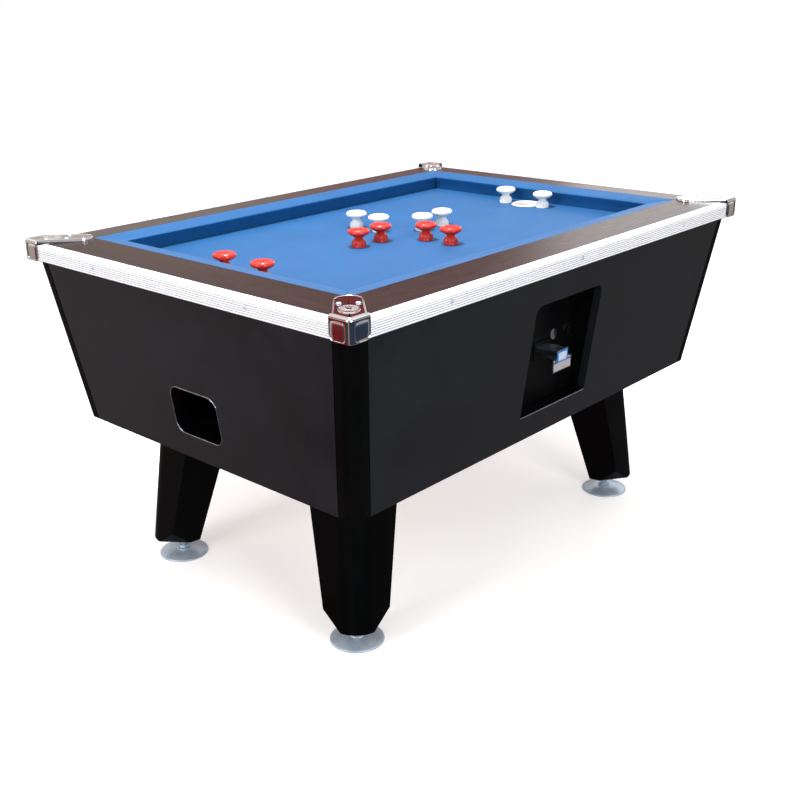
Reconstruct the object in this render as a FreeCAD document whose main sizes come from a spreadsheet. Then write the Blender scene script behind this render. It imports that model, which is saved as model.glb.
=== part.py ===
"""Coin-operated bumper pool table, as a parametric FreeCAD document in millimetres.

Frame: +X along the table, +Y away from the coin side, +Z up, origin on the floor under the
centre.  Pieces that repeat on the four sides are drawn once in a local frame: local X runs
along the side, local Y points inwards from the trim's outer face, and local Z = 0 is the
highest line of the rail tops.  Placement then turns each copy to its own side.
"""
import FreeCAD, Part
import math
import os
import re

import Sketcher

SIZES = [
    # overall
    ("overall_length", 1422, "outer face to outer face of the end trims"),
    ("overall_width", 1024, "outer face to outer face of the side trims"),
    ("rail_height", 808, "floor to the highest line of the rail tops"),
    ("bed_drop", 44, "rail top down to the playing surface"),
    # rails and trims
    ("rail_width", 109, "trim face to the line where the cushion cloth starts"),
    ("rail_fall", 5.5, "how much lower the rail's outer edge is"),
    ("trim_lip", 17, "width of the trim's top flange"),
    ("trim_wall", 3, "thickness of the trim's face and flange"),
    ("trim_fall", 2.8, "how much the trim's flange falls towards its outer edge"),
    ("trim_bottom", 41.8, "rail top down to the trim's lower edge"),
    ("trim_screw_depth", 25, "rail top down to the trim screws"),
    ("end_screw_reach", 246, "end trim's screws from the middle"),
    ("side_screw_reach", 441, "side trim's outer screws from the middle"),
    # cushions
    ("nose_reach", 50, "cloth line to the cushion's nose"),
    ("nose_drop", 7.6, "rail top down to the upper edge of the nose"),
    ("nose_height", 5, "blunt front of the nose"),
    ("foot_reach", 40, "cloth line to the foot of the cushion's face"),
    ("tongue_width", 19, "cloth-covered tongue that lies on the rail"),
    ("tongue_depth", 4, "thickness of the tongue"),
    ("soft_gap", 0.3, "clearance round each soft piece"),
    # corner castings
    ("casting_height", 4, "casting above the rail top"),
    ("casting_proud", 4, "casting outside the trim's face"),
    ("casting_skirt", 50, "skirt's reach from the corner along each side"),
    ("casting_end_radius", 27, "round inner end of the top plate"),
    ("casting_end_place", 89, "centre of the round end from both trim faces"),
    ("casting_skirt_bottom", 44, "rail top down to the skirt's lower edge"),
    ("casting_screw_near", 56.5, "casting screw from the nearer trim face"),
    ("casting_screw_far", 81, "casting screw from the farther trim face"),
    ("badge_place", 42, "centre of the oval boss from both trim faces"),
    ("badge_width", 38, "oval boss across the corner"),
    ("badge_length", 50, "oval boss along the corner's diagonal"),
    ("badge_height", 1.6, "height of the oval boss"),
    # bed
    ("cloth_thickness", 1.5, "bed cloth"),
    ("slate_thickness", 19, "slate bed"),
    ("support_depth", 32, "height of the frame under the slate"),
    ("support_width", 60, "width of the frame's outer members"),
    ("cross_member_width", 30, "width of the frame's two cross members"),
    ("cross_member_place", 114, "cross member from the middle"),
    # goals and bumpers
    ("goal_cushion_gap", 6, "foot of the cushion's face to the goal's ring"),
    ("goal_radius", 32, "clear radius of a goal hole"),
    ("slate_goal_gap", 0.4, "gap between the slate and the goal liner's sleeve"),
    ("cloth_goal_gap", 0.7, "gap between the cloth and the goal liner's sleeve"),
    ("goal_sleeve_wall", 2.6, "wall of the goal liner's sleeve"),
    ("goal_flange_width", 8, "goal liner's ring beyond the clear hole"),
    ("goal_flange_height", 3, "ring above the cloth"),
    ("bumper_pitch", 76, "step between bumpers of the centre cross"),
    ("end_bumper_offset", 12, "bumpers beside a goal, from its centre towards the table's middle"),
    ("end_bumper_gap", 4, "goal's ring to the foot of those bumpers, across the table"),
    ("bumper_height", 41, "bumper above the cloth"),
    ("bumper_cap_radius", 26, "radius of the bumper's cap"),
    ("bumper_waist_radius", 9, "radius of the bumper's waist"),
    ("bumper_base_radius", 17, "radius of the bumper's foot"),
    ("bumper_stud_radius", 3, "radius of the bumper's stud"),
    ("stud_gap", 0.05, "clearance between a stud and its nut"),
    ("bumper_nut_radius", 6.5, "washer and nut under the slate"),
    ("bumper_nut_height", 6, "height of that washer and nut"),
    ("bumper_dish", 2, "hollow in the top of the cap"),
    # cabinet
    ("panel_inset", 14, "trim face to the cabinet's outer face at its top"),
    ("cabinet_taper", 54, "how much further in the cabinet's face is at its bottom"),
    ("cabinet_bottom", 379, "floor to the cabinet's underside"),
    ("panel_wall", 19, "thickness of the cabinet panels, measured level"),
    ("floor_thickness", 19, "cabinet floor"),
    ("post_side", 42, "width of a corner post on each face"),
    ("post_radius", 28, "rounding of a corner post"),
    ("post_groove", 3, "groove between a post and a panel"),
    # ball return
    ("pickup_width", 154, "ball pick-up opening in an end panel"),
    ("pickup_height", 111, "ball pick-up opening in an end panel"),
    ("pickup_radius", 27, "corners of the pick-up opening"),
    ("pickup_drop", 316, "rail top down to the middle of the pick-up opening"),
    ("tray_wall", 2, "wall of the ball tray"),
    ("tray_gap", 0.5, "gap between the tray and its opening"),
    ("tray_back", 240, "trim face to the back of the ball tray"),
    ("runway_width", 64, "clear width of the ball runway"),
    ("runway_wall", 4, "walls and floors of the ball runway"),
    ("runway_side", 40, "side walls above the runway's floor"),
    ("runway_inner_end", 524, "trim face to the far end of the runway"),
    ("runway_outer_end", 140, "trim face to the lip over the ball tray"),
    ("upper_run_drop", 122, "rail top down to the upper floor under the goal"),
    ("lower_run_drop", 222, "rail top down to the lower floor at its inner end"),
    ("runway_head_gap", 8, "runway's closed end from the goal hole"),
    ("runway_slope", 0.06, "fall of the runway's floors"),
    # coin side
    ("coin_width", 254, "coin opening, width"),
    ("coin_top", 110, "rail top down to the coin opening's upper edge"),
    ("coin_bottom", 369, "rail top down to the floor of the coin recess"),
    ("coin_radius", 20, "upper corners of the coin opening"),
    ("recess_wall", 12, "wooden walls of the coin recess"),
    ("recess_plate", 3, "metal floor of the coin recess"),
    ("coin_plate_place", 97, "trim face to the front of the mechanism plate"),
    ("coin_plate_thickness", 3, "mechanism plate"),
    ("coin_plate_gap", 1.5, "gap round the mechanism plate"),
    ("recess_back", 108, "trim face to the back of the recess"),
    ("recess_flange", 10, "flange that the mechanism plate rests on"),
    ("slide_drop", 248, "rail top down to the coin slide's centre line"),
    ("slide_width", 43, "coin slide"),
    ("slide_thickness", 20, "coin slide"),
    ("slide_front", 40, "trim face to the front of the coin slide"),
    ("slide_length", 130, "coin slide's bar"),
    ("slide_gap", 0.4, "running clearance round the coin slide"),
    ("slide_travel", 50, "how far the coin slide is pushed in"),
    ("handle_width", 69, "coin slide's front plate"),
    ("handle_height", 28, "front plate's lower part"),
    ("handle_thickness", 4, "front plate"),
    ("handle_rise", 2, "front plate above and below the bar"),
    ("stud_inset", 6, "handle stud from the front plate's end"),
    ("stud_drop", 4, "handle stud from the front plate's shoulder"),
    ("stud_radius", 3.5, "handle stud"),
    ("stud_height", 3, "handle stud"),
    ("chute_width", 52, "coin chute's housing"),
    ("chute_height", 30, "coin chute's housing"),
    ("chute_back", 236, "trim face to the back of the coin chute"),
    ("chute_flange", 5, "chute's flange beyond its housing"),
    ("drop_slot_start", 60, "mechanism plate to the slot that coins fall through"),
    ("drop_slot_length", 40, "slot that coins fall through"),
    ("rod_radius", 4, "push rod of the coin slide"),
    ("rod_end_gap", 2, "gap between the push rod and the crank"),
    ("lock_radius", 11, "lock barrel"),
    ("lock_plug_radius", 7, "turning plug of a lock"),
    ("lock_gap", 0.06, "running clearance of shafts and plugs"),
    ("lock_drop", 222, "rail top down to the locks"),
    ("left_lock_place", 46, "left lock from the middle"),
    ("right_lock_place", 104, "right lock from the middle"),
    ("lock_cam_length", 26, "reach of a lock's cam"),
    ("lock_cam_width", 12, "lock cam"),
    ("lock_cam_thickness", 2.5, "lock cam"),
    ("lock_head", 2, "lock's head beyond its barrel, and its height"),
    ("lock_behind", 9, "lock barrel behind the mechanism plate"),
    ("lock_tail", 4, "plug behind its barrel"),
    ("keyway_width", 1.6, "keyway of a lock"),
    ("keyway_length", 8, "keyway of a lock"),
    ("keyway_depth", 3, "keyway of a lock"),
    ("cash_box_length", 140, "cash box along the table"),
    ("cash_box_width", 130, "cash box across the table"),
    ("cash_box_height", 85, "cash box"),
    ("cash_box_offset", 50, "chute's back to the middle of the cash box"),
    # ball release
    ("release_radius", 5, "release shaft"),
    ("release_drop", 183, "rail top down to the release shaft"),
    ("release_place", 50, "release shaft from the long centre line"),
    ("release_end", 181, "trim face to the end of the release shaft"),
    ("crank_length", 90, "crank arm below the release shaft"),
    ("gate_inset", 190, "trim face to a ball gate"),
    ("gate_depth", 22, "gate finger below the release shaft"),
    ("gate_width", 12, "gate finger and its arm"),
    ("lug_inset", 492, "trim face to the release shaft's bearing lug"),
    # legs
    ("leg_inset", 110, "cabinet's lower edge to the leg's outer faces"),
    ("leg_splay", 32, "how much further out the leg's lower end is"),
    ("leg_top_width", 140, "leg at its top"),
    ("leg_bottom_width", 98, "leg at its lower end"),
    ("leg_radius", 48, "rounding of the leg's outer edge"),
    ("leg_clearance", 54, "floor to the leg's lower end at its outer edge"),
    ("leg_heel", 24, "how much lower the sole is at the leg's inner edge"),
    ("leg_bevel", 38, "bevel at the leg's lower end"),
    ("leg_bevel_height", 30, "height of that bevel"),
    ("leg_bolt_near", 35, "leg bolt from the nearer outer face"),
    ("leg_bolt_far", 92, "leg bolt from the farther outer face"),
    ("leg_bolt_radius", 5, "leg bolt"),
    ("leg_bolt_length", 70, "leg bolt below its head"),
    ("foot_place", 63, "leveller from the leg's outer faces at its lower end"),
    ("foot_radius", 60, "leveller's disc"),
    ("foot_rim", 4, "height of the disc's rim"),
    ("foot_dome", 14, "height of the disc's dome"),
    ("foot_hub_radius", 15, "top of the disc's dome"),
    ("stem_radius", 8, "leveller's stem"),
    ("stem_engaged", 60, "length of stem inside the leg"),
    ("foot_retract", 18, "how far a leveller screws up"),
    ("bore_spare", 10, "bore above the leveller's stem when it is screwed up"),
    # screws
    ("screw_radius", 2.2, "trim and casting screws"),
    ("screw_length", 14, "trim and casting screws below the head"),
    ("screw_head_radius", 5, "trim and casting screws"),
    ("screw_head_height", 2.4, "trim and casting screws"),
    ("hole_gap", 0.2, "radial clearance of screw and bolt holes"),
    # drawing
    ("over", 9, "how far a cut runs past what it cuts"),
]

doc = FreeCAD.newDocument("BumperPoolTable")
sheet = doc.addObject("Spreadsheet::Sheet", "Sizes")
for row, (alias, number, note) in enumerate(SIZES, start=1):
    sheet.set(f"A{row}", alias)
    sheet.set(f"B{row}", str(number))
    sheet.set(f"C{row}", note)
    sheet.setAlias(f"B{row}", alias)
doc.recompute()

ALIASES = {alias for alias, _, _ in SIZES}
nodes = {}

# Sizes that follow from the sheet, as expressions.
HALF_LENGTH = "(overall_length / 2)"
HALF_WIDTH = "(overall_width / 2)"
PANEL_DEPTH = "(rail_height - bed_drop - cabinet_bottom)"
CABINET_DROP = "(rail_height - cabinet_bottom)"
SLATE_TOP = "(bed_drop + cloth_thickness)"
SLATE_BOTTOM = "(bed_drop + cloth_thickness + slate_thickness)"
SUPPORT_BOTTOM = f"({SLATE_BOTTOM} + support_depth)"
SEAT_DROP = "(rail_fall - 0.1)"


def face_inset(drop):
    """How far the cabinet's outer face is inside the trim's face, at a drop below the rail top."""
    return f"(panel_inset + cabinet_taper * (({drop}) - bed_drop) / {PANEL_DEPTH})"


def wall_inset(drop):
    """The same for the panel's inner face."""
    return f"({face_inset(drop)} + panel_wall)"


# ---------------------------------------------------------------- helpers

def bind(text):
    """Point the words of an expression at the sheet."""
    return re.sub(r"[a-z][a-z_]+", lambda found: "Sizes." + found[0] if found[0] in ALIASES
                  else found[0], str(text))


def value(text):
    """The expression's present value."""
    return float(sheet.evalExpression(bind(text)))


def new_body(label, x="0", y="0", z="0", turn=0):
    """A PartDesign body whose Placement follows the sheet."""
    body = doc.addObject("PartDesign::Body", "Body")
    body.Label = label
    body.AllowCompound = True
    body.Placement = FreeCAD.Placement(FreeCAD.Vector(), FreeCAD.Rotation(FreeCAD.Vector(0, 0, 1), turn))
    for axis, text in zip("xyz", (x, y, z)):
        body.setExpression(f"Placement.Base.{axis}", bind(text))
    nodes[label] = body
    return body


def on_side(label, side):
    """A body in the local frame of one side: coin, far, left or right."""
    place = {"coin": ("0", f"-{HALF_WIDTH}", 0), "far": ("0", HALF_WIDTH, 180),
             "left": (f"-{HALF_LENGTH}", "0", -90), "right": (HALF_LENGTH, "0", 90)}[side]
    return new_body(label, place[0], place[1], "rail_height", place[2])


def along_table(label, end):
    """A body whose local X runs inwards from one end's trim face: left or right."""
    if end == "left":
        return new_body(label, f"-{HALF_LENGTH}", "0", "rail_height", 0)
    return new_body(label, HALF_LENGTH, "0", "rail_height", 180)


CORNERS = {"near_left": (-1, -1, 0), "near_right": (1, -1, 90),
           "far_right": (1, 1, 180), "far_left": (-1, 1, 270)}


def at_corner(label, corner, inset="0", height="rail_height"):
    """A body at a corner, with its local X and Y pointing inwards along the two sides."""
    x_sign, y_sign, turn = CORNERS[corner]
    return new_body(label, f"{x_sign} * ({HALF_LENGTH} - ({inset}))",
                    f"{y_sign} * ({HALF_WIDTH} - ({inset}))", height, turn)


def new_sketch(body, plane, offset="0"):
    """A sketch on one of the body's own origin planes, moved along its normal."""
    sketch = body.newObject("Sketcher::SketchObject", "Sketch")
    origin = [item for item in body.Origin.OriginFeatures if item.Role == plane + "_Plane"][0]
    sketch.AttachmentSupport = [(origin, "")]
    sketch.MapMode = "FlatFace"
    sketch.setExpression("AttachmentOffset.Base.z", bind(offset))
    return sketch


def hold(sketch, kind, geometry, point, text):
    """Dimension a point from the sketch's origin along X or Y."""
    index = sketch.addConstraint(Sketcher.Constraint(kind, -1, 1, geometry, point, value(text)))
    sketch.setExpression(f"Constraints[{index}]", bind(text))


def arc_between(start, end, radius, turn):
    """The minor arc from start to end; turn is 1 when it runs anticlockwise, else -1."""
    middle = (start + end) * 0.5
    chord = end - start
    rise = math.sqrt(max(radius ** 2 - chord.Length ** 2 / 4, 0))
    left = FreeCAD.Vector(-chord.y, chord.x, 0).normalize()
    centre = middle + left * rise * turn
    angles = [math.atan2(point.y - centre.y, point.x - centre.x) for point in (start, end)]
    first, last = angles if turn > 0 else reversed(angles)
    circle = Part.Circle(centre, FreeCAD.Vector(0, 0, 1), radius)
    return Part.ArcOfCircle(circle, first, last)


def outline(sketch, points):
    """Draw a closed outline and bind every corner to the sheet.

    A corner is (x, y), or (x, y, radius, turn) when an arc leads from it to the next corner.
    """
    places = [FreeCAD.Vector(value(point[0]), value(point[1]), 0) for point in points]
    ends = []
    for index, point in enumerate(points):
        start = places[index]
        end = places[(index + 1) % len(points)]
        if len(point) == 2:
            geometry = sketch.addGeometry(Part.LineSegment(start, end), False)
            ends.append((geometry, 1, 2))
            continue
        radius, turn = point[2], point[3]
        geometry = sketch.addGeometry(arc_between(start, end, value(radius), turn), False)
        ends.append((geometry, 1, 2) if turn > 0 else (geometry, 2, 1))
        index_held = sketch.addConstraint(Sketcher.Constraint("Radius", geometry, value(radius)))
        sketch.setExpression(f"Constraints[{index_held}]", bind(radius))
    for index, point in enumerate(points):
        geometry, start, _ = ends[index]
        before, _, before_end = ends[index - 1]
        sketch.addConstraint(Sketcher.Constraint("Coincident", before, before_end, geometry, start))
        hold(sketch, "DistanceX", geometry, start, point[0])
        hold(sketch, "DistanceY", geometry, start, point[1])


def circle(sketch, x, y, radius):
    """Draw a circle and bind its centre and radius to the sheet."""
    centre = FreeCAD.Vector(value(x), value(y), 0)
    geometry = sketch.addGeometry(Part.Circle(centre, FreeCAD.Vector(0, 0, 1), value(radius)), False)
    hold(sketch, "DistanceX", geometry, 3, x)
    hold(sketch, "DistanceY", geometry, 3, y)
    index = sketch.addConstraint(Sketcher.Constraint("Radius", geometry, value(radius)))
    sketch.setExpression(f"Constraints[{index}]", bind(radius))


def rectangle(x_low, x_high, y_low, y_high):
    """Corners of a rectangle."""
    return [(x_low, y_low), (x_high, y_low), (x_high, y_high), (x_low, y_high)]


def rounded_rectangle(width, height, radius, y_middle="0"):
    """Corners of a rectangle with round corners, centred on the sketch's Y axis."""
    w, r = f"({width}) / 2", f"({radius})"
    low, high = f"({y_middle} - ({height}) / 2)", f"({y_middle} + ({height}) / 2)"
    return [(f"-{w} + {r}", low), (f"{w} - {r}", low, r, 1),
            (w, f"{low} + {r}"), (w, f"{high} - {r}", r, 1),
            (f"{w} - {r}", high), (f"-{w} + {r}", high, r, 1),
            (f"-{w}", f"{high} - {r}"), (f"-{w}", f"{low} + {r}", r, 1)]


def pad(body, plane, shapes, length, offset="0", middle=False, back=False):
    """Pad outlines and circles drawn on one of the body's planes."""
    sketch = new_sketch(body, plane, offset)
    draw(sketch, shapes)
    feature = body.newObject("PartDesign::Pad", "Pad")
    feature.Profile = sketch
    feature.setExpression("Length", bind(length))
    feature.SideType = "Symmetric" if middle else "One side"
    feature.Reversed = back
    sketch.Visibility = False
    doc.recompute()
    return feature


def pocket(body, plane, shapes, length, offset="0", middle=False, back=False):
    """Cut outlines and circles out of the body, and check that something was cut."""
    before = body.Shape.Volume
    sketch = new_sketch(body, plane, offset)
    draw(sketch, shapes)
    feature = body.newObject("PartDesign::Pocket", "Pocket")
    feature.Profile = sketch
    feature.setExpression("Length", bind(length))
    feature.SideType = "Symmetric" if middle else "One side"
    feature.Reversed = back
    sketch.Visibility = False
    doc.recompute()
    if body.Shape.Volume > before - 1:
        raise RuntimeError(f"a pocket of {body.Label} cut nothing")
    return feature


def draw(sketch, shapes):
    """Draw a list of outlines (lists of corners) and circles (x, y, radius)."""
    for shape in shapes:
        if isinstance(shape, list):
            outline(sketch, shape)
        else:
            circle(sketch, *shape)


def revolve(body, points):
    """Turn an outline drawn on the XZ plane round the body's Z axis."""
    sketch = new_sketch(body, "XZ")
    outline(sketch, points)
    feature = body.newObject("PartDesign::Revolution", "Revolution")
    feature.Profile = sketch
    feature.ReferenceAxis = (sketch, ["V_Axis"])
    feature.Angle = 360
    sketch.Visibility = False
    doc.recompute()
    return feature


def loft(body, levels, subtract=False):
    """Loft between outlines at given heights: levels is a list of (height, outline)."""
    sketches = []
    for height, points in levels:
        sketch = new_sketch(body, "XY", height)
        outline(sketch, points)
        sketch.Visibility = False
        sketches.append(sketch)
    kind = "SubtractiveLoft" if subtract else "AdditiveLoft"
    before = body.Shape.Volume if subtract else 0
    feature = body.newObject("PartDesign::" + kind, kind)
    feature.Profile = sketches[0]
    feature.Sections = sketches[1:]
    feature.Ruled = True
    doc.recompute()
    if subtract and body.Shape.Volume > before - 1:
        raise RuntimeError(f"a loft of {body.Label} cut nothing")
    return feature


def fillet(body, radius, wanted):
    """Round the edges of the body's shape for which wanted(edge) is true."""
    shape = body.Tip.Shape
    names = [f"Edge{index}" for index, edge in enumerate(shape.Edges, start=1) if wanted(edge)]
    feature = body.newObject("PartDesign::Fillet", "Fillet")
    feature.Base = (body.Group[-2], names)
    feature.setExpression("Radius", bind(radius))
    doc.recompute()
    return feature


# ---------------------------------------------------------------- rails, trims and cushions

def half_along(side):
    """Half the length of a side, measured at the trim's outer face."""
    return HALF_LENGTH if side in ("coin", "far") else HALF_WIDTH


def mitred_bar(body, side, profile, depth, gap="0"):
    """Pad a YZ profile along the side and cut both ends at 45 degrees."""
    half = f"({half_along(side)} - {gap})"
    pad(body, "YZ", [profile], f"2 * {half}", middle=True)
    ends = [[(f"{sign} * {half}", "0"), (f"{sign} * ({half} + over)", "0"),
             (f"{sign} * ({half} + over)", depth), (f"{sign} * ({half} - ({depth}))", depth)]
            for sign in (-1, 1)]
    pocket(body, "XY", ends, "4 * bed_drop", middle=True)


def casting_outline(gap, sign=1, half=None):
    """Plan of a corner casting's top plate, from the corner where the two trim faces meet.

    With half, the corner is the end of a side: it lies at X = sign * half.
    """
    place, radius = "casting_end_place", f"(casting_end_radius + {gap})"
    offset = f"{radius} / sqrt(2)"
    edge, outer = f"(casting_skirt + {gap})", f"(-casting_proud - {gap})"
    points = [(outer, outer), (edge, outer), (f"{place} + {offset}", f"{place} - {offset}", radius, 1),
              (f"{place} + {offset}", f"{place} + {offset}", radius, 1),
              (f"{place} - {offset}", f"{place} + {offset}"), (outer, edge)]
    if half is None:
        return points
    moved = []
    for point in points:
        x = f"{sign} * ({half} - ({point[0]}))"
        rest = (point[2], -sign * point[3]) if len(point) > 2 else ()
        moved.append((x, point[1]) + rest)
    return moved


def trim_screw_places(side):
    """Where a trim's screws are along its side."""
    if side in ("coin", "far"):
        return ["-side_screw_reach", "0", "side_screw_reach"]
    return ["-end_screw_reach", "end_screw_reach"]


def make_rail(side):
    """Wooden rail: its top falls outwards, and its ends are cut out for the corner castings."""
    body = on_side(f"rail_{side}", side)
    face = "trim_wall"
    flange_drop = "rail_fall + trim_wall"
    profile = [(face, "-bed_drop"), (face, f"-({flange_drop} + trim_fall)"),
               ("trim_lip", f"-({flange_drop})"),
               ("trim_lip", "-rail_fall"), ("rail_width", "0"), ("rail_width", "-tongue_depth"),
               ("rail_width + tongue_width", "-tongue_depth - 1"),
               ("rail_width + tongue_width", "-bed_drop")]
    mitred_bar(body, side, profile, "rail_width + tongue_width + 2")
    half = half_along(side)
    seats = [casting_outline("hole_gap", sign, half) for sign in (-1, 1)]
    pocket(body, "XY", seats, "bed_drop", f"-{SEAT_DROP}", back=True)
    radius = "screw_radius + hole_gap"
    holes = [(f"{sign} * ({half} - casting_screw_far)", "casting_screw_near", radius) for sign in (-1, 1)]
    pocket(body, "XY", holes, "screw_length", f"-{SEAT_DROP}")
    sides = [(x, "-trim_screw_depth", radius) for x in trim_screw_places(side)]
    pocket(body, "XZ", sides, "screw_length + trim_wall")


def make_trim(side):
    """Aluminium angle that covers the rail's outer face and the edge of its top."""
    body = on_side(f"trim_{side}", side)
    top, low = "-rail_fall", "-(rail_fall + trim_wall)"
    profile = [("0", "-trim_bottom"), ("trim_wall", "-trim_bottom"), ("trim_wall", f"{low} - trim_fall"),
               ("trim_lip", low), ("trim_lip", top), ("0", f"{top} - trim_fall")]
    mitred_bar(body, side, profile, "trim_lip + 2")
    holes = [(x, "-trim_screw_depth", "screw_radius + hole_gap") for x in trim_screw_places(side)]
    pocket(body, "XZ", holes, "2 * trim_wall", middle=True)


def make_cushion(side):
    """Cloth-covered rubber cushion with a tongue that lies on the rail's edge."""
    body = on_side(f"cushion_{side}", side)
    back, gap = "rail_width + tongue_width + soft_gap", "soft_gap"
    nose = "rail_width + nose_reach"
    profile = [(f"rail_width + {gap}", "0"), (nose, "-nose_drop", "nose_height * 0.6", -1),
               (nose, "-nose_drop - nose_height"), ("rail_width + foot_reach", f"-bed_drop + {gap}"),
               (back, f"-bed_drop + {gap}"), (back, f"-tongue_depth - 1 + {gap}"),
               (f"rail_width + {gap}", f"-tongue_depth + {gap}")]
    mitred_bar(body, side, profile, "rail_width + nose_reach + nose_height", gap)


def make_casting(corner):
    """Chrome corner casting: top plate let into the rails, skirt over the trims, oval boss."""
    body = at_corner(f"corner_casting_{corner}", corner)
    outer, edge = "-casting_proud", "casting_skirt"
    pad(body, "XY", [casting_outline("0")], f"casting_height + {SEAT_DROP}", f"-{SEAT_DROP}")
    radius = "2 * casting_proud"
    skirt = [(f"{outer} + {radius}", outer), (edge, outer),
             (edge, "-0.1"), ("-0.1", "-0.1"), ("-0.1", edge),
             (outer, edge), (outer, f"{outer} + {radius}", radius, 1)]
    pad(body, "XY", [skirt], "casting_skirt_bottom + casting_height - 2", "-casting_skirt_bottom")
    corner_cut = [(outer, outer), (f"{outer} + {radius}", outer, radius, -1),
                  (outer, f"{outer} + {radius}")]
    pocket(body, "XY", [corner_cut], "casting_height + rail_fall", "casting_height")
    holes = [("casting_screw_near", "casting_screw_far", "screw_radius + hole_gap"),
             ("casting_screw_far", "casting_screw_near", "screw_radius + hole_gap")]
    pocket(body, "XY", holes, "casting_height + rail_fall", "casting_height")
    top = value("casting_height")
    hole_diagonal = 2 * math.sqrt(2) * value("screw_radius + hole_gap")
    fillet(body, "casting_height / 3", lambda edge: edge.BoundBox.ZMin > top - 0.01
           and edge.BoundBox.DiagonalLength > 1.1 * hole_diagonal)
    boss = badge_outline()
    pad(body, "XY", [boss], "badge_height + casting_height", "0")


def badge_outline():
    """Oval along the corner's diagonal, made of two end arcs joined by straight sides."""
    radius = "(badge_width / 2)"
    along = "((badge_length - badge_width) / 2 / sqrt(2))"
    across = f"({radius} / sqrt(2))"
    low, high = f"(badge_place - {along})", f"(badge_place + {along})"
    reach = f"({radius} / sqrt(2))"
    return [(f"{low} + {across}", f"{low} - {across}"),
            (f"{high} + {across}", f"{high} - {across}", radius, 1),
            (f"{high} + {reach}", f"{high} + {reach}", radius, 1),
            (f"{high} - {across}", f"{high} + {across}"),
            (f"{low} - {across}", f"{low} + {across}", radius, 1),
            (f"{low} - {reach}", f"{low} - {reach}", radius, 1)]


# ---------------------------------------------------------------- bed, goals and bumpers

def notched_plate(half_x, half_y, notch_x, notch_y):
    """Rectangle whose corners are notched round the corner posts."""
    corners = []
    for x_sign, y_sign in ((1, -1), (1, 1), (-1, 1), (-1, -1)):
        side_first = [(f"{x_sign} * ({notch_x})", f"{y_sign} * ({half_y})"),
                      (f"{x_sign} * ({notch_x})", f"{y_sign} * ({notch_y})"),
                      (f"{x_sign} * ({half_x})", f"{y_sign} * ({notch_y})")]
        corners += side_first if x_sign == -y_sign else list(reversed(side_first))
    return corners


def inside_cabinet(drop):
    """Notched plate that fits inside the panels and posts at a drop below the rail top."""
    wall = f"({wall_inset(drop)} + soft_gap)"
    post = f"({face_inset(drop)} + post_side + soft_gap)"
    return notched_plate(f"{HALF_LENGTH} - {wall}", f"{HALF_WIDTH} - {wall}",
                         f"{HALF_LENGTH} - {post}", f"{HALF_WIDTH} - {post}")


GOAL_INSET = "(rail_width + foot_reach + goal_cushion_gap + goal_flange_width + goal_radius)"


def bumper_pairs():
    """Names, colours and centres of the bumpers: four arms of a cross, and a pair at each goal."""
    near, far = "bumper_pitch", "2 * bumper_pitch"
    end = f"({HALF_LENGTH} - {GOAL_INSET} - end_bumper_offset)"
    reach = "(goal_radius + goal_flange_width + end_bumper_gap + bumper_base_radius)"
    return {"bumpers_red_left_arm": [(f"-{near}", "0"), (f"-{far}", "0")],
            "bumpers_red_near_arm": [("0", f"-{near}"), ("0", f"-{far}")],
            "bumpers_white_right_arm": [(near, "0"), (far, "0")],
            "bumpers_white_far_arm": [("0", near), ("0", far)],
            "bumpers_red_left_goal": [(f"-{end}", f"-{reach}"), (f"-{end}", reach)],
            "bumpers_white_right_goal": [(end, f"-{reach}"), (end, reach)]}


def bed_holes(bumper_radius, goal_radius):
    """Circles for the bumper studs and the two goals."""
    holes = [(x, y, bumper_radius) for pair in bumper_pairs().values() for x, y in pair]
    goals = [(f"{sign} * ({HALF_LENGTH} - {GOAL_INSET})", "0", goal_radius) for sign in (-1, 1)]
    return holes + goals


def make_bed():
    """Slate, the cloth stretched over it, and the wooden frame that carries both."""
    layers = (("slate_bed", SLATE_BOTTOM, "slate_thickness", "slate_goal_gap"),
              ("bed_cloth", SLATE_TOP, "cloth_thickness", "cloth_goal_gap"))
    for label, drop, thickness, goal_gap in layers:
        body = new_body(label, z="rail_height")
        pad(body, "XY", [inside_cabinet(SLATE_BOTTOM)], thickness, f"-{drop}")
        holes = bed_holes("bumper_stud_radius + hole_gap", f"goal_radius + goal_sleeve_wall + {goal_gap}")
        pocket(body, "XY", holes, f"4 * {thickness}", f"-{drop}", middle=True)
    body = new_body("bed_support_frame", z="rail_height")
    pad(body, "XY", [inside_cabinet(SUPPORT_BOTTOM)], "support_depth", f"-{SUPPORT_BOTTOM}")
    edge = f"({wall_inset(SUPPORT_BOTTOM)} + soft_gap + support_width)"
    half_x, half_y = f"({HALF_LENGTH} - {edge})", f"({HALF_WIDTH} - {edge})"
    inner = "(cross_member_place - cross_member_width / 2)"
    outer = "(cross_member_place + cross_member_width / 2)"
    windows = [rectangle(f"-{half_x}", f"-{outer}", f"-{half_y}", half_y),
               rectangle(f"-{inner}", inner, f"-{half_y}", half_y),
               rectangle(outer, half_x, f"-{half_y}", half_y)]
    pocket(body, "XY", windows, "4 * support_depth", f"-{SLATE_BOTTOM}", middle=True)


def make_goal_liner(end, sign):
    """White ring that lines a goal hole, with a sleeve through the slate."""
    body = new_body(f"goal_liner_{end}", f"{sign} * ({HALF_LENGTH} - {GOAL_INSET})", "0", "rail_height")
    sleeve, top = "goal_radius + goal_sleeve_wall", "(-bed_drop + goal_flange_height)"
    ring = "(goal_radius + goal_flange_width)"
    rim = "(goal_flange_height / 2)"
    points = [("goal_radius", f"-{SLATE_BOTTOM}"), (sleeve, f"-{SLATE_BOTTOM}"), (sleeve, "-bed_drop"),
              (ring, "-bed_drop"), (ring, f"{top} - {rim}", rim, 1),
              (f"{ring} - {rim}", top), (f"goal_radius + {rim}", top, rim, 1),
              ("goal_radius", f"{top} - {rim}")]
    revolve(body, points)


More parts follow.
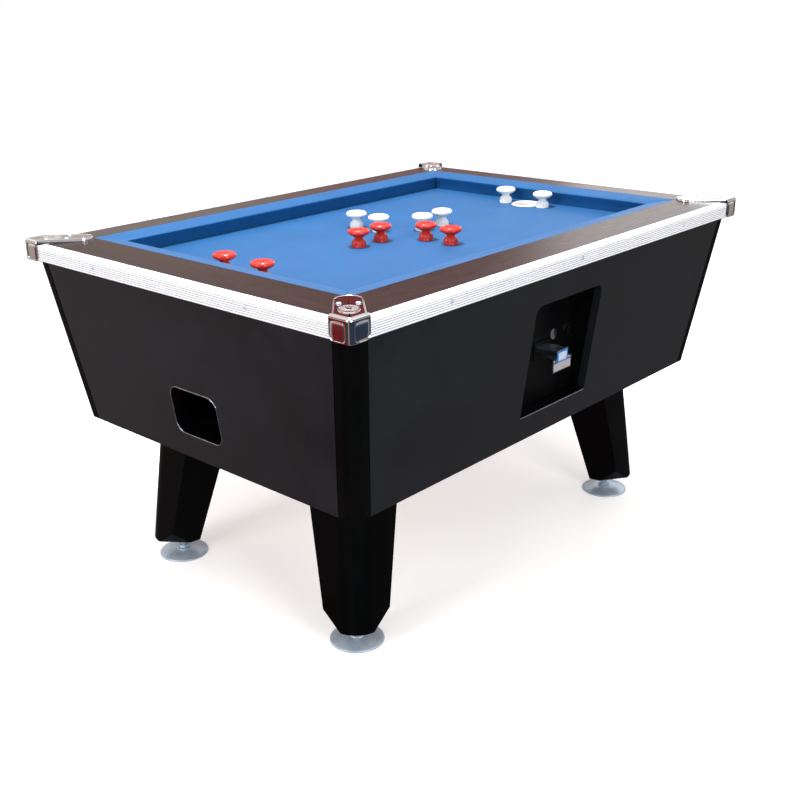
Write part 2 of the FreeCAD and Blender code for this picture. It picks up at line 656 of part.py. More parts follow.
def bumper_profile():
    """Half section of a bumper: stud, fluted foot, waist and wide dished cap."""
    foot, cap, waist = "bumper_base_radius", "bumper_cap_radius", "bumper_waist_radius"
    top = "bumper_height"
    return [("0", f"-({SLATE_BOTTOM} - bed_drop) - bumper_nut_height"),
            ("bumper_stud_radius", f"-({SLATE_BOTTOM} - bed_drop) - bumper_nut_height"),
            ("bumper_stud_radius", "0"), (foot, "0"), (foot, f"{top} * 0.11", f"{top} * 0.62", 1),
            (waist, f"{top} * 0.49"), (waist, f"{top} * 0.56", f"{top} * 0.55", -1),
            (cap, f"{top} * 0.78", f"{top} * 0.12", 1), (f"{cap} - {top} * 0.1", f"{top} * 0.97"),
            (f"{cap} * 0.66", top, f"{cap} * 3", -1), ("0", f"{top} - bumper_dish")]


def make_bumper_pair(label, centres):
    """Two identical bumpers, the second made by a linear pattern of the first."""
    (x_first, y_first), (x_second, y_second) = centres
    body = new_body(label, x_first, y_first, "rail_height - bed_drop")
    turned = revolve(body, bumper_profile())
    pattern = body.newObject("PartDesign::LinearPattern", "Second")
    pattern.Originals = [turned]
    shift_x, shift_y = f"({x_second}) - ({x_first})", f"({y_second}) - ({y_first})"
    along_x = abs(value(shift_x)) > abs(value(shift_y))
    role = "X_Axis" if along_x else "Y_Axis"
    axis = [item for item in body.Origin.OriginFeatures if item.Role == role][0]
    shift = shift_x if along_x else shift_y
    pattern.Direction = (axis, [""])
    pattern.Occurrences = 2
    pattern.Reversed = value(shift) < 0
    pattern.setExpression("Length", bind(f"abs({shift})"))
    body.Tip = pattern
    doc.recompute()


def make_bumper_nuts():
    """Washer and nut of every bumper, under the slate."""
    body = new_body("bumper_nuts", z="rail_height")
    centres = [centre for pair in bumper_pairs().values() for centre in pair]
    nuts = [(x, y, "bumper_nut_radius") for x, y in centres]
    bores = [(x, y, "bumper_stud_radius + stud_gap") for x, y in centres]
    pad(body, "XY", nuts, "bumper_nut_height", f"-{SLATE_BOTTOM} - bumper_nut_height")
    pocket(body, "XY", bores, "4 * bumper_nut_height", f"-{SLATE_BOTTOM}", middle=True)


# ---------------------------------------------------------------- cabinet

def make_panel(side):
    """Cabinet panel that leans inwards, between the two corner posts of its side."""
    body = on_side(f"panel_{side}", side)
    top, low = "bed_drop", CABINET_DROP
    profile = [(face_inset(top), f"-{top}"), (wall_inset(top), f"-{top}"),
               (wall_inset(low), f"-{low}"), (face_inset(low), f"-{low}")]
    half = half_along(side)
    end_top = f"({half} - {face_inset(top)} - post_side - post_groove)"
    end_low = f"({half} - {face_inset(low)} - post_side - post_groove)"
    pad(body, "YZ", [profile], f"2 * {end_top}", middle=True)
    wedges = [[(f"{sign} * {end_top}", f"-{top}"), (f"{sign} * ({end_top} + over)", f"-{top}"),
               (f"{sign} * ({end_top} + over)", f"-{low}"), (f"{sign} * {end_low}", f"-{low}")]
              for sign in (-1, 1)]
    pocket(body, "XZ", wedges, "8 * cabinet_taper", middle=True)
    if side in ("left", "right"):
        opening = rounded_rectangle("pickup_width", "pickup_height", "pickup_radius", "-pickup_drop")
        pocket(body, "XZ", [opening], "8 * cabinet_taper", middle=True)
    if side == "coin":
        pocket(body, "XZ", [coin_opening()], "8 * cabinet_taper", middle=True)


def coin_opening():
    """Outline of the coin opening: round upper corners, sharp lower ones."""
    w, r = "(coin_width / 2)", "coin_radius"
    low, top = "(-coin_bottom - recess_plate)", "(-coin_top)"
    return [(f"-{w}", low), (w, low), (w, f"{top} - {r}", r, 1), (f"{w} - {r}", top),
            (f"-{w} + {r}", top, r, 1), (f"-{w}", f"{top} - {r}")]


def round_corner_square(inset, width, radius):
    """Square that points inwards from a corner, with its outer corner rounded."""
    far = f"({inset} + {width})"
    return [(f"{inset} + {radius}", inset), (far, inset), (far, far), (inset, far),
            (inset, f"{inset} + {radius}", radius, 1)]


def make_post(corner):
    """Corner post that leans with the cabinet."""
    body = at_corner(f"corner_post_{corner}", corner)
    levels = [(f"-{drop}", round_corner_square(face_inset(drop), "post_side", "post_radius"))
              for drop in ("bed_drop", CABINET_DROP)]
    loft(body, levels)


def leg_bolt_places():
    """The leg bolts' places from the leg's outer corner at its top."""
    return [("leg_bolt_near", "leg_bolt_far"), ("leg_bolt_far", "leg_bolt_near")]


LEG_PLACE = f"({face_inset(CABINET_DROP)} + leg_inset)"


def make_floor():
    """Cabinet floor between the panels, with holes for the leg bolts."""
    body = new_body("cabinet_floor", z="cabinet_bottom")
    pad(body, "XY", [inside_cabinet(CABINET_DROP)], "floor_thickness")
    holes = [(x, y, "leg_bolt_radius + hole_gap") for x, y in all_leg_bolts()]
    pocket(body, "XY", holes, "4 * floor_thickness", middle=True)


def all_leg_bolts():
    """The leg bolts' centres in the table's frame."""
    centres = []
    for x_sign, y_sign, _ in CORNERS.values():
        for x, y in leg_bolt_places():
            centres.append((f"{x_sign} * ({HALF_LENGTH} - {LEG_PLACE} - {x})",
                            f"{y_sign} * ({HALF_WIDTH} - {LEG_PLACE} - {y})"))
    return centres


def make_leg_bolts():
    """Bolts that hold the legs, with their heads on the cabinet floor."""
    body = new_body("leg_bolts", z="cabinet_bottom + floor_thickness")
    centres = all_leg_bolts()
    pad(body, "XY", [(x, y, "leg_bolt_radius") for x, y in centres], "leg_bolt_length", back=True)
    pad(body, "XY", [(x, y, "2 * leg_bolt_radius") for x, y in centres], "leg_bolt_radius")


LEG_LENGTH = "(cabinet_bottom - leg_clearance)"


def leg_outer(drop):
    """The leg's outer faces at a drop below the cabinet, from where they are at its top."""
    return f"(-leg_splay * ({drop}) / {LEG_LENGTH})"


def leg_width(drop):
    """The leg's width at a drop below the cabinet."""
    return f"(leg_top_width - (leg_top_width - leg_bottom_width) * ({drop}) / {LEG_LENGTH})"


def cut_corner(drop, size, swap):
    """Triangle over the end of one outer face, which a bevel takes off at a drop."""
    outer = f"({leg_outer(drop)} - over)"
    tip = f"({leg_outer(drop)} + {leg_width(drop)} + over)"
    points = [(outer, tip), (outer, f"{tip} - ({size}) - 2 * over"),
              (f"{outer} + ({size}) + 2 * over", tip)]
    return [(y, x) for x, y in points] if swap else points


def make_leg(corner):
    """Tapered leg that splays outwards, with a slanting sole, bored for its leveller and bolts."""
    body = at_corner(f"leg_{corner}", corner, LEG_PLACE, "cabinet_bottom")
    lowest = f"({LEG_LENGTH} + leg_heel)"
    loft(body, [(f"-({drop})", round_corner_square(leg_outer(drop), leg_width(drop), "leg_radius"))
                for drop in ("0", lowest)])
    run = "(2 * leg_bottom_width / leg_heel)"
    margin = "leg_bottom_width"
    sole = []
    for shift in ("-1", "leg_heel + 1"):
        line = f"(-2 * leg_splay + {run} * ({shift}))"
        sole.append((f"-({LEG_LENGTH} + {shift})",
                     [(f"-{margin}", f"-{margin}"), (f"{line} + {margin}", f"-{margin}"),
                      (f"-{margin}", f"{line} + {margin}")]))
    loft(body, sole, subtract=True)
    bevel_top = f"({LEG_LENGTH} - leg_bevel_height)"
    bevel_size = "leg_bevel * (1 + (leg_heel + 1) / leg_bevel_height)"
    for swap in (False, True):
        loft(body, [(f"-{bevel_top}", cut_corner(bevel_top, "0", swap)),
                    (f"-({lowest} + 1)", cut_corner(f"{lowest} + 1", bevel_size, swap))], subtract=True)
    place = "(foot_place - leg_splay)"
    pocket(body, "XY", [(place, place, "stem_radius + soft_gap")],
           "leg_heel + stem_engaged + foot_retract + bore_spare", f"-{lowest}", back=True)
    bolts = [(x, y, "leg_bolt_radius + hole_gap") for x, y in leg_bolt_places()]
    pocket(body, "XY", bolts, "leg_bolt_length - floor_thickness + 4")


def make_leveller(corner):
    """Levelling foot: domed disc with a threaded stem that runs up into the leg."""
    body = at_corner(f"leveller_{corner}", corner, f"{LEG_PLACE} - leg_splay + foot_place", "0")
    stem_top = "leg_clearance + stem_engaged"
    points = [("0", "0"), ("foot_radius", "0"), ("foot_radius", "foot_rim", "3 * foot_radius", 1),
              ("foot_hub_radius", "foot_dome"), ("stem_radius", "foot_dome"),
              ("stem_radius", f"{stem_top} - 2"), ("stem_radius - 2", stem_top), ("0", stem_top)]
    revolve(body, points)


# ---------------------------------------------------------------- ball return

def make_ball_return(end):
    """Runway under a goal: an upper floor falls inwards, a lower floor falls back to the gate."""
    body = along_table(f"ball_return_{end}", end)
    wall, inner, outer = "runway_wall", "runway_inner_end", "runway_outer_end"
    head = f"({GOAL_INSET} - goal_radius - runway_head_gap - {wall})"
    head_end = f"({GOAL_INSET} + goal_radius + 2 * runway_head_gap)"
    gap_start = f"({inner} - runway_width)"

    def upper(u):
        return f"(-upper_run_drop - runway_slope * (({u}) - {head}))"

    def lower(u):
        return f"(-lower_run_drop - runway_slope * ({inner} - ({u})))"

    back = f"({inner} + {wall})"
    side = "runway_side"
    profile = [(head, f"-{SLATE_BOTTOM}"), (head, f"{upper(head)} - {wall}"),
               (gap_start, f"{upper(gap_start)} - {wall}"), (gap_start, f"{lower(gap_start)} + {side}"),
               (outer, f"{lower(outer)} + {side}"), (outer, f"{lower(outer)} - {wall}"),
               (back, f"{lower(back)} - {wall}"), (back, f"{upper(back)} + {side}"),
               (head_end, f"{upper(head_end)} + {side}"), (head_end, f"-{SLATE_BOTTOM}")]
    pad(body, "XZ", [profile], f"runway_width + 2 * {wall}", middle=True)
    passage = [(f"{head} + {wall}", "0"), (f"{head} + {wall}", upper(f"{head} + {wall}")),
               (gap_start, upper(gap_start)), (gap_start, f"{upper(gap_start)} - {wall}"),
               (f"{head} - 1", f"{upper(f'{head} - 1')} - {wall}"),
               (f"{outer} - 1", f"{upper(f'{head} - 1')} - {wall}"),
               (f"{outer} - 1", lower(f"{outer} - 1")),
               (inner, lower(inner)), (inner, "0")]
    pocket(body, "XZ", [passage], "runway_width", middle=True)
    sign = -1 if end == "left" else 1
    face = f"(runway_width / 2 + {wall} / 2)"
    lug = rectangle(f"{sign} * {face}", f"{sign} * (release_place + 3 * release_radius)",
                    "-release_drop - 3 * release_radius", "-release_drop + 3 * release_radius")
    pad(body, "YZ", [lug], "2 * runway_wall", "lug_inset")
    bore = (f"{sign} * release_place", "-release_drop", "release_radius + lock_gap")
    pocket(body, "YZ", [bore], "8 * runway_wall", "lug_inset", middle=True)


def make_ball_tray(end):
    """Metal tray behind an end panel's opening: its mouth is cut flush with the leaning panel."""
    body = along_table(f"ball_tray_{end}", end)
    wall, gap = "tray_wall", "tray_gap"
    outer = rounded_rectangle(f"pickup_width - 2 * {gap}", f"pickup_height - 2 * {gap}",
                              f"pickup_radius - {gap}", "-pickup_drop")
    inner = rounded_rectangle(f"pickup_width - 2 * {gap} - 2 * {wall}",
                              f"pickup_height - 2 * {gap} - 2 * {wall}",
                              f"pickup_radius - {gap} - {wall}", "-pickup_drop")
    pad(body, "YZ", [outer], "tray_back", "0")
    pocket(body, "YZ", [inner], f"tray_back - {wall}", f"tray_back - {wall}")
    high, low = "pickup_drop - pickup_height", "pickup_drop + pickup_height"
    front = [("-over", f"-({high})"), (face_inset(high), f"-({high})"), (face_inset(low), f"-({low})"),
             ("-over", f"-({low})")]
    pocket(body, "XZ", [front], "4 * pickup_width", middle=True)
    roof = "(-pickup_drop + pickup_height / 2 - pickup_radius)"
    start = f"({wall_inset('pickup_drop - pickup_height / 2')} + 3 * tray_wall)"
    opening = rectangle(start, f"tray_back - {wall}", roof, f"{roof} + 2 * pickup_radius")
    pocket(body, "XZ", [opening], f"pickup_width - 2 * {gap} - 2 * {wall}", middle=True)


def make_release_shaft():
    """Shaft with a crank that the coin slide pushes, and an arm with a finger at each runway."""
    body = new_body("release_shaft", "0", "-release_place", "rail_height - release_drop")
    pad(body, "YZ", [("0", "0", "release_radius")], f"2 * ({HALF_LENGTH} - release_end)", middle=True)
    thick = "release_radius * 0.8"
    crank = rectangle(f"-{thick}", thick, "-crank_length", "0")
    pad(body, "YZ", [crank], "3 * release_radius", middle=True)
    arm_start, arm_end = "release_place - gate_width / 2", "release_place + gate_width / 2"
    arm = [("0", f"-{thick}"), (arm_start, f"-{thick}"), (arm_start, "-gate_depth"),
           (arm_end, "-gate_depth"), (arm_end, thick), ("0", thick)]
    for sign in (-1, 1):
        pad(body, "YZ", [arm], "gate_width", f"{sign} * ({HALF_LENGTH} - gate_inset) - gate_width / 2")


# ---------------------------------------------------------------- coin side

SLIDE_BACK = "(slide_front + handle_thickness + slide_length)"


def make_coin_recess():
    """Box behind the coin opening: wooden walls, a metal floor plate and a flange at the back."""
    body = on_side("coin_recess", "coin")
    half = "(coin_width / 2)"
    top, low = "(coin_top - recess_wall)", "(coin_bottom + recess_plate + recess_wall)"
    profile = [(wall_inset(top), f"-{top}"), ("recess_back", f"-{top}"), ("recess_back", f"-{low}"),
               (wall_inset(low), f"-{low}")]
    pad(body, "YZ", [profile], f"2 * ({half} + recess_wall)", middle=True)
    floor_low = "(coin_bottom + recess_plate)"
    plate = [(face_inset("coin_bottom"), "-coin_bottom"), ("recess_back - 1", "-coin_bottom"),
             ("recess_back - 1", f"-{floor_low}"), (face_inset(floor_low), f"-{floor_low}")]
    pad(body, "YZ", [plate], f"2 * ({half} - tray_gap)", middle=True)
    stop = "(coin_plate_place + coin_plate_thickness)"
    pocket(body, "XZ", [rectangle(f"-{half}", half, "-coin_bottom", "-coin_top")], stop)
    edge = "recess_flange"
    rear = rectangle(f"-{half} + {edge}", f"{half} - {edge}",
                     f"-coin_bottom + {edge}", f"-coin_top - {edge}")
    pocket(body, "XZ", [rear], "recess_back + over")


def slide_section(gap):
    """Section of the coin slide's bar, grown by a gap."""
    half, thick = f"(slide_width / 2 + {gap})", f"(slide_thickness / 2 + {gap})"
    return rectangle(f"-{half}", half, f"-slide_drop - {thick}", f"-slide_drop + {thick}")


def lock_places():
    """The two locks, by name and place along the coin side."""
    return {"left": "left_lock_place", "right": "right_lock_place"}


def make_coin_plate():
    """Steel plate that closes the back of the recess and carries the coin chute and the locks."""
    body = on_side("coin_plate", "coin")
    half = "(coin_width / 2 - coin_plate_gap)"
    shape = rectangle(f"-{half}", half, "-coin_bottom + coin_plate_gap", "-coin_top - coin_plate_gap")
    pad(body, "XZ", [shape], "coin_plate_thickness", "-coin_plate_place", back=True)
    housing = chute_section("tray_gap")
    cuts = [housing] + [(x, "-lock_drop", "lock_radius + hole_gap") for x in lock_places().values()]
    pocket(body, "XZ", cuts, "8 * coin_plate_thickness", "-coin_plate_place", middle=True)


def chute_section(gap):
    """Section of the chute's housing, grown by a gap."""
    half, high = f"(chute_width / 2 + {gap})", f"(chute_height / 2 + {gap})"
    return rectangle(f"-{half}", half, f"-slide_drop - {high}", f"-slide_drop + {high}")


def make_coin_chute():
    """Housing that the coin slide runs in, with a flange on the front of the plate."""
    body = on_side("coin_chute", "coin")
    pad(body, "XZ", [chute_section("0")], "chute_back - coin_plate_place", "-coin_plate_place", back=True)
    pad(body, "XZ", [chute_section("chute_flange")], "coin_plate_thickness",
        "-coin_plate_place + coin_plate_thickness", back=True)
    pocket(body, "XZ", [slide_section("slide_gap")], "chute_back - runway_wall")
    rod = ("0", "-slide_drop", "rod_radius + slide_gap")
    pocket(body, "XZ", [rod], "chute_back + over")
    start = "coin_plate_place + drop_slot_start"
    drop = rectangle("-slide_width / 4", "slide_width / 4", start, f"{start} + drop_slot_length")
    pocket(body, "XY", [drop], "chute_height", "-slide_drop")


def make_coin_slide():
    """Coin slide: front plate with a label tab and two studs, bar, and a rod that works the crank."""
    body = on_side("coin_slide", "coin")
    low = "(-slide_drop - slide_thickness / 2 - handle_height + handle_rise)"
    shoulder = f"({low} + handle_height)"
    top = "(-slide_drop + slide_thickness / 2 + handle_rise)"
    half, tab = "(handle_width / 2)", "(slide_width / 2)"
    front = [(f"-{half}", low), (half, low), (half, shoulder), (tab, shoulder),
             (tab, top), (f"-{tab}", top), (f"-{tab}", shoulder), (f"-{half}", shoulder)]
    pad(body, "XZ", [front], "handle_thickness", "-slide_front", back=True)
    pad(body, "XZ", [slide_section("0")], "slide_length", "-slide_front - handle_thickness", back=True)
    crank_face = f"({HALF_WIDTH} - release_place - release_radius * 0.8)"
    pad(body, "XZ", [("0", "-slide_drop", "rod_radius")],
        f"{crank_face} - rod_end_gap - {SLIDE_BACK}", f"-{SLIDE_BACK}", back=True)
    studs = [(f"{sign} * ({half} - stud_inset)", f"{shoulder} - stud_drop", "stud_radius")
             for sign in (-1, 1)]
    pad(body, "XZ", studs, "stud_height", "-slide_front + stud_height", back=True)


def make_locks():
    """Barrels fixed in the mechanism plate, and in each a plug that turns its cam."""
    barrels = on_side("lock_barrels", "coin")
    front = "(coin_plate_place - lock_head)"
    behind = "(coin_plate_place + coin_plate_thickness + lock_behind)"
    places = lock_places().values()
    heads = [(x, "-lock_drop", "lock_radius + lock_head") for x in places]
    bodies = [(x, "-lock_drop", "lock_radius") for x in places]
    pad(barrels, "XZ", heads, "lock_head", f"-{front}", back=True)
    pad(barrels, "XZ", bodies, f"{behind} - coin_plate_place", "-coin_plate_place", back=True)
    bores = [(x, "-lock_drop", "lock_plug_radius + lock_gap") for x in places]
    pocket(barrels, "XZ", bores, "recess_back + over")
    for name, x in lock_places().items():
        plug = on_side(f"lock_plug_{name}", "coin")
        pad(plug, "XZ", [(x, "-lock_drop", "lock_plug_radius")], f"{behind} + lock_tail - {front}",
            f"-{front}", back=True)
        slit, reach = "keyway_width / 2", "keyway_length / 2"
        keyway = rectangle(f"{x} - {slit}", f"{x} + {slit}",
                           f"-lock_drop - {reach}", f"-lock_drop + {reach}")
        pocket(plug, "XZ", [keyway], "keyway_depth", f"-{front}")
        cam = rectangle(f"{x} - lock_plug_radius", f"{x} + lock_cam_length",
                        "-lock_drop - lock_cam_width / 2", "-lock_drop + lock_cam_width / 2")
        pad(plug, "XZ", [cam], "lock_cam_thickness", f"-{behind} - 1", back=True)


def make_cash_box():
    """Open cash box on the cabinet floor under the coin chute."""
    body = on_side("cash_box", "coin")
    base = f"-({CABINET_DROP} - floor_thickness)"
    middle, half = "(chute_back - cash_box_offset)", "(cash_box_length / 2)"
    low, high = f"({middle} - cash_box_width / 2)", f"({middle} + cash_box_width / 2)"
    pad(body, "XY", [rectangle(f"-{half}", half, low, high)], "cash_box_height", base)
    wall = "tray_wall"
    inside = rectangle(f"-{half} + {wall}", f"{half} - {wall}", f"{low} + {wall}", f"{high} - {wall}")
    pocket(body, "XY", [inside], f"cash_box_height - {wall}", f"{base} + cash_box_height")


# ---------------------------------------------------------------- screws

def make_screws():
    """Round-head screws of the trims and castings, as one group of separate solids."""
    parts = []
    for side in ("coin", "far", "left", "right"):
        x_axis, y_axis = {"coin": (1, 0), "far": (-1, 0), "left": (0, -1), "right": (0, 1)}[side]
        inward = {"coin": (0, 1), "far": (0, -1), "left": (1, 0), "right": (-1, 0)}[side]
        for along in trim_screw_places(side):
            x = f"{x_axis} * ({along}) - {inward[0]} * {HALF_LENGTH}"
            y = f"{y_axis} * ({along}) - {inward[1]} * {HALF_WIDTH}"
            aim = FreeCAD.Vector(-inward[0], -inward[1], 0)
            parts.append(make_screw(x, y, "rail_height - trim_screw_depth", aim))
    near, far = "casting_screw_near", "casting_screw_far"
    for x_sign, y_sign, _ in CORNERS.values():
        for u, v in ((near, far), (far, near)):
            x = f"{x_sign} * ({HALF_LENGTH} - {u})"
            y = f"{y_sign} * ({HALF_WIDTH} - {v})"
            parts.append(make_screw(x, y, "rail_height + casting_height", FreeCAD.Vector(0, 0, 1)))
    group = doc.addObject("Part::Compound", "Compound")
    group.Label = "trim_screws"
    group.Links = parts
    nodes["trim_screws"] = group


def make_screw(x, y, z, aim):
    """One screw whose head stands on the point (x, y, z) and faces along aim."""
    turn = FreeCAD.Rotation(FreeCAD.Vector(0, 0, 1), aim)
    head = doc.addObject("Part::Cone", "Head")
    head.setExpression("Radius1", bind("screw_head_radius"))
    head.setExpression("Radius2", bind("screw_head_radius * 0.6"))
    head.setExpression("Height", bind("screw_head_height"))
    shank = doc.addObject("Part::Cylinder", "Shank")
    shank.setExpression("Radius", bind("screw_radius"))
    shank.setExpression("Height", bind("screw_length"))
    shank.setExpression("Placement.Base.z", bind("-screw_length"))
    screw = doc.addObject("Part::Fuse", "Screw")
    screw.Base = head
    screw.Tool = shank
    screw.Placement = FreeCAD.Placement(FreeCAD.Vector(), turn)
    for axis, text in zip("xyz", (x, y, z)):
        screw.setExpression(f"Placement.Base.{axis}", bind(text))
    return screw


# ---------------------------------------------------------------- the table

for side_name in ("coin", "far", "left", "right"):
    make_panel(side_name)
    make_rail(side_name)
    make_cushion(side_name)
    make_trim(side_name)
for corner_name in CORNERS:
    make_post(corner_name)
    make_casting(corner_name)
    make_leg(corner_name)
    make_leveller(corner_name)
make_floor()
make_leg_bolts()
make_bed()
for end_name, end_sign in (("left", -1), ("right", 1)):
    make_goal_liner(end_name, end_sign)
    make_ball_return(end_name)
    make_ball_tray(end_name)
for pair_name, pair_centres in bumper_pairs().items():
    make_bumper_pair(pair_name, pair_centres)
make_bumper_nuts()
make_release_shaft()
make_coin_recess()
make_coin_plate()
make_coin_chute()
make_coin_slide()
make_locks()
make_cash_box()
make_screws()
doc.recompute()

for item in doc.Objects:
    if "Invalid" in item.State or "Error" in item.State:
        raise RuntimeError(f"{item.Name} of {item.Label} failed: {item.State}")
for label, item in nodes.items():
    if item.Shape.isNull() or not item.Shape.isValid():
        raise RuntimeError(f"{label} has no valid shape")

os.makedirs("parts", exist_ok=True)
for label, item in nodes.items():
    item.Shape.exportStep(f"parts/{label}.step")
print(len(nodes), "nodes")
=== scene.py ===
"""Looks of a coin-operated bumper pool table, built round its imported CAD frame.

Each operator makes one piece, or one group of like pieces, or gives a group of CAD nodes its
finish.  Positions come from the frame.  Lengths are in metres, and MM turns millimetres into them.
"""
import math

import bmesh
import bpy
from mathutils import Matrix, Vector, noise


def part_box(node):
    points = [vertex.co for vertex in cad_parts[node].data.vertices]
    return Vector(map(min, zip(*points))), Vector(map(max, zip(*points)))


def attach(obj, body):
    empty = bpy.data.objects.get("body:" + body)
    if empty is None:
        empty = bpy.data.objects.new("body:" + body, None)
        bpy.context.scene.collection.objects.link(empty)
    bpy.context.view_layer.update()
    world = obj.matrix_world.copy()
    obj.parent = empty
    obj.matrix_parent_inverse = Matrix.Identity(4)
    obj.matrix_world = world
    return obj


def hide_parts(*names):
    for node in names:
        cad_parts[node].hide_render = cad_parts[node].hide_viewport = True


bl_info = {
    "name": "Bumper Pool Table",
    "version": (1, 0, 0),
    "blender": (4, 5, 0),
    "location": "View3D > Sidebar > Pool Table",
    "description": "Detailed pieces and finishes of a coin-operated bumper pool table",
    "category": "Object",
}

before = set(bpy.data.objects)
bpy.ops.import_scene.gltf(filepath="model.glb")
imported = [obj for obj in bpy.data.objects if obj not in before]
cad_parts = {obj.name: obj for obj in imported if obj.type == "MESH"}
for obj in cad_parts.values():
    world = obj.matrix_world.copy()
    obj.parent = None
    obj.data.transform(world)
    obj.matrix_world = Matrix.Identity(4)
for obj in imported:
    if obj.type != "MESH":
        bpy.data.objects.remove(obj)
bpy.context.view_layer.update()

MM = 0.001
TABLE = "table"
SIDES = ("coin", "far", "left", "right")
CORNERS = ("near_left", "near_right", "far_right", "far_left")

HALF_WIDTH = -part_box("trim_coin")[0].y
HALF_LENGTH = -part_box("trim_left")[0].x
RAIL_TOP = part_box("rail_coin")[1].z
BED_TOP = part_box("bed_cloth")[1].z
CUSHION_START = HALF_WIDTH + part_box("cushion_coin")[0].y
CUSHION_NOSE = HALF_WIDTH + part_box("cushion_coin")[1].y
TRIM_LIP = HALF_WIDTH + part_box("trim_coin")[1].y
TRIM_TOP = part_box("trim_coin")[1].z
TRIM_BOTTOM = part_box("trim_coin")[0].z
CASTING_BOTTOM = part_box("corner_casting_near_left")[0].z
PANEL_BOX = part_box("panel_coin")
TAPER = 54 * MM


# ---------------------------------------------------------------- places

def half_along(side):
    """Half a side's length at the trim's outer face."""
    return HALF_LENGTH if side in ("coin", "far") else HALF_WIDTH


def side_point(side, along, inward, height):
    """A point along one side, inwards from the trim's outer face."""
    if side == "coin":
        return Vector((along, inward - HALF_WIDTH, height))
    if side == "far":
        return Vector((-along, HALF_WIDTH - inward, height))
    if side == "left":
        return Vector((inward - HALF_LENGTH, -along, height))
    return Vector((HALF_LENGTH - inward, along, height))


def corner_point(corner, x, y, height):
    """A point at a corner, with x and y inwards along its two sides."""
    if corner == "near_left":
        return Vector((x - HALF_LENGTH, y - HALF_WIDTH, height))
    if corner == "near_right":
        return Vector((HALF_LENGTH - y, x - HALF_WIDTH, height))
    if corner == "far_right":
        return Vector((HALF_LENGTH - x, HALF_WIDTH - y, height))
    return Vector((y - HALF_LENGTH, HALF_WIDTH - x, height))


def inward_of(side, point):
    """How far a point is inside the trim's outer face of a side."""
    if side == "coin":
        return point.y + HALF_WIDTH
    if side == "far":
        return HALF_WIDTH - point.y
    return point.x + HALF_LENGTH if side == "left" else HALF_LENGTH - point.x


def face_inset(height):
    """How far the cabinet's leaning face is inside the trim's face at a height."""
    fall = (PANEL_BOX[1].z - height) / (PANEL_BOX[1].z - PANEL_BOX[0].z)
    return PANEL_BOX[0].y + HALF_WIDTH + TAPER * fall


# ---------------------------------------------------------------- meshes

def link(name, mesh, material, body, nodes):
    """Put a mesh in the scene as a piece that rides on a body."""
    piece = bpy.data.objects.new(name, mesh)
    bpy.context.scene.collection.objects.link(piece)
    mesh.materials.append(material)
    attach(piece, body)
    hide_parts(*nodes)
    return piece


def rings_to_mesh(name, rings, closed=True, cap=True, crease=35):
    """Skin a stack of rings of equal length, with caps at both ends."""
    count = len(rings[0])
    points = [point for ring in rings for point in ring]
    faces = []
    for level in range(len(rings) - 1):
        for index in range(count if closed else count - 1):
            after = (index + 1) % count
            low, high = level * count, (level + 1) * count
            faces.append((low + index, low + after, high + after, high + index))
    if cap:
        faces.append(tuple(range(count)))
        last = (len(rings) - 1) * count
        faces.append(tuple(range(last, last + count)))
    mesh = bpy.data.meshes.new(name)
    mesh.from_pydata(points, [], faces)
    tidy_normals(mesh, crease)
    return mesh


def tidy_normals(mesh, crease):
    """Point the faces outwards, smooth them, and keep edges over the crease angle sharp."""
    work = bmesh.new()
    work.from_mesh(mesh)
    bmesh.ops.remove_doubles(work, verts=work.verts, dist=1e-6)
    bmesh.ops.recalc_face_normals(work, faces=work.faces)
    work.to_mesh(mesh)
    work.free()
    mesh.polygons.foreach_set("use_smooth", [True] * len(mesh.polygons))
    mesh.set_sharp_from_angle(angle=math.radians(crease))


def turned(profile, centre, steps, flute=None):
    """Rings of a turned shape: profile is a list of (radius, height above the centre)."""
    rings = []
    for radius, height in profile:
        ring = []
        for step in range(steps):
            angle = math.tau * step / steps
            reach = radius * (flute(angle, height) if flute else 1)
            ring.append(centre + Vector((math.cos(angle) * reach, math.sin(angle) * reach, height)))
        rings.append(ring)
    return rings


def rope(name, points, radius, closed, sides=12):
    """Mesh tube along a line of points, with round section."""
    count = len(points)
    rings = []
    for index, point in enumerate(points):
        before = points[index - 1] if closed or index else point
        after = points[(index + 1) % count] if closed or index < count - 1 else point
        along = (after - before).normalized()
        side = along.cross(Vector((0, 0, 1)))
        if side.length < 0.1:
            side = along.cross(Vector((0, 1, 0)))
        side.normalize()
        up = side.cross(along)
        ring = []
        for step in range(sides):
            angle = math.tau * step / sides
            ring.append(point + (side * math.cos(angle) + up * math.sin(angle)) * radius)
        rings.append(ring)
    if closed:
        rings.append(rings[0])
    return rings_to_mesh(name, rings, cap=not closed, crease=60)


def join_meshes(name, meshes):
    """One mesh out of several."""
    work = bmesh.new()
    for mesh in meshes:
        work.from_mesh(mesh)
    joined = bpy.data.meshes.new(name)
    work.to_mesh(joined)
    work.free()
    return joined


def arc(centre_x, centre_y, radius, start, end, steps):
    """Points on an arc, with its angles in degrees."""
    angles = [math.radians(start + (end - start) * step / steps) for step in range(steps + 1)]
    return [(centre_x + radius * math.cos(a), centre_y + radius * math.sin(a)) for a in angles]


def rounded_rectangle(half, rise, corner, steps):
    """Anticlockwise outline of a rectangle with rounded corners, round its middle."""
    points = []
    for x_sign, y_sign, start in ((1, 1, 0), (-1, 1, 90), (-1, -1, 180), (1, -1, 270)):
        points += arc(x_sign * (half - corner), y_sign * (rise - corner), corner, start, start + 90, steps)
    return points


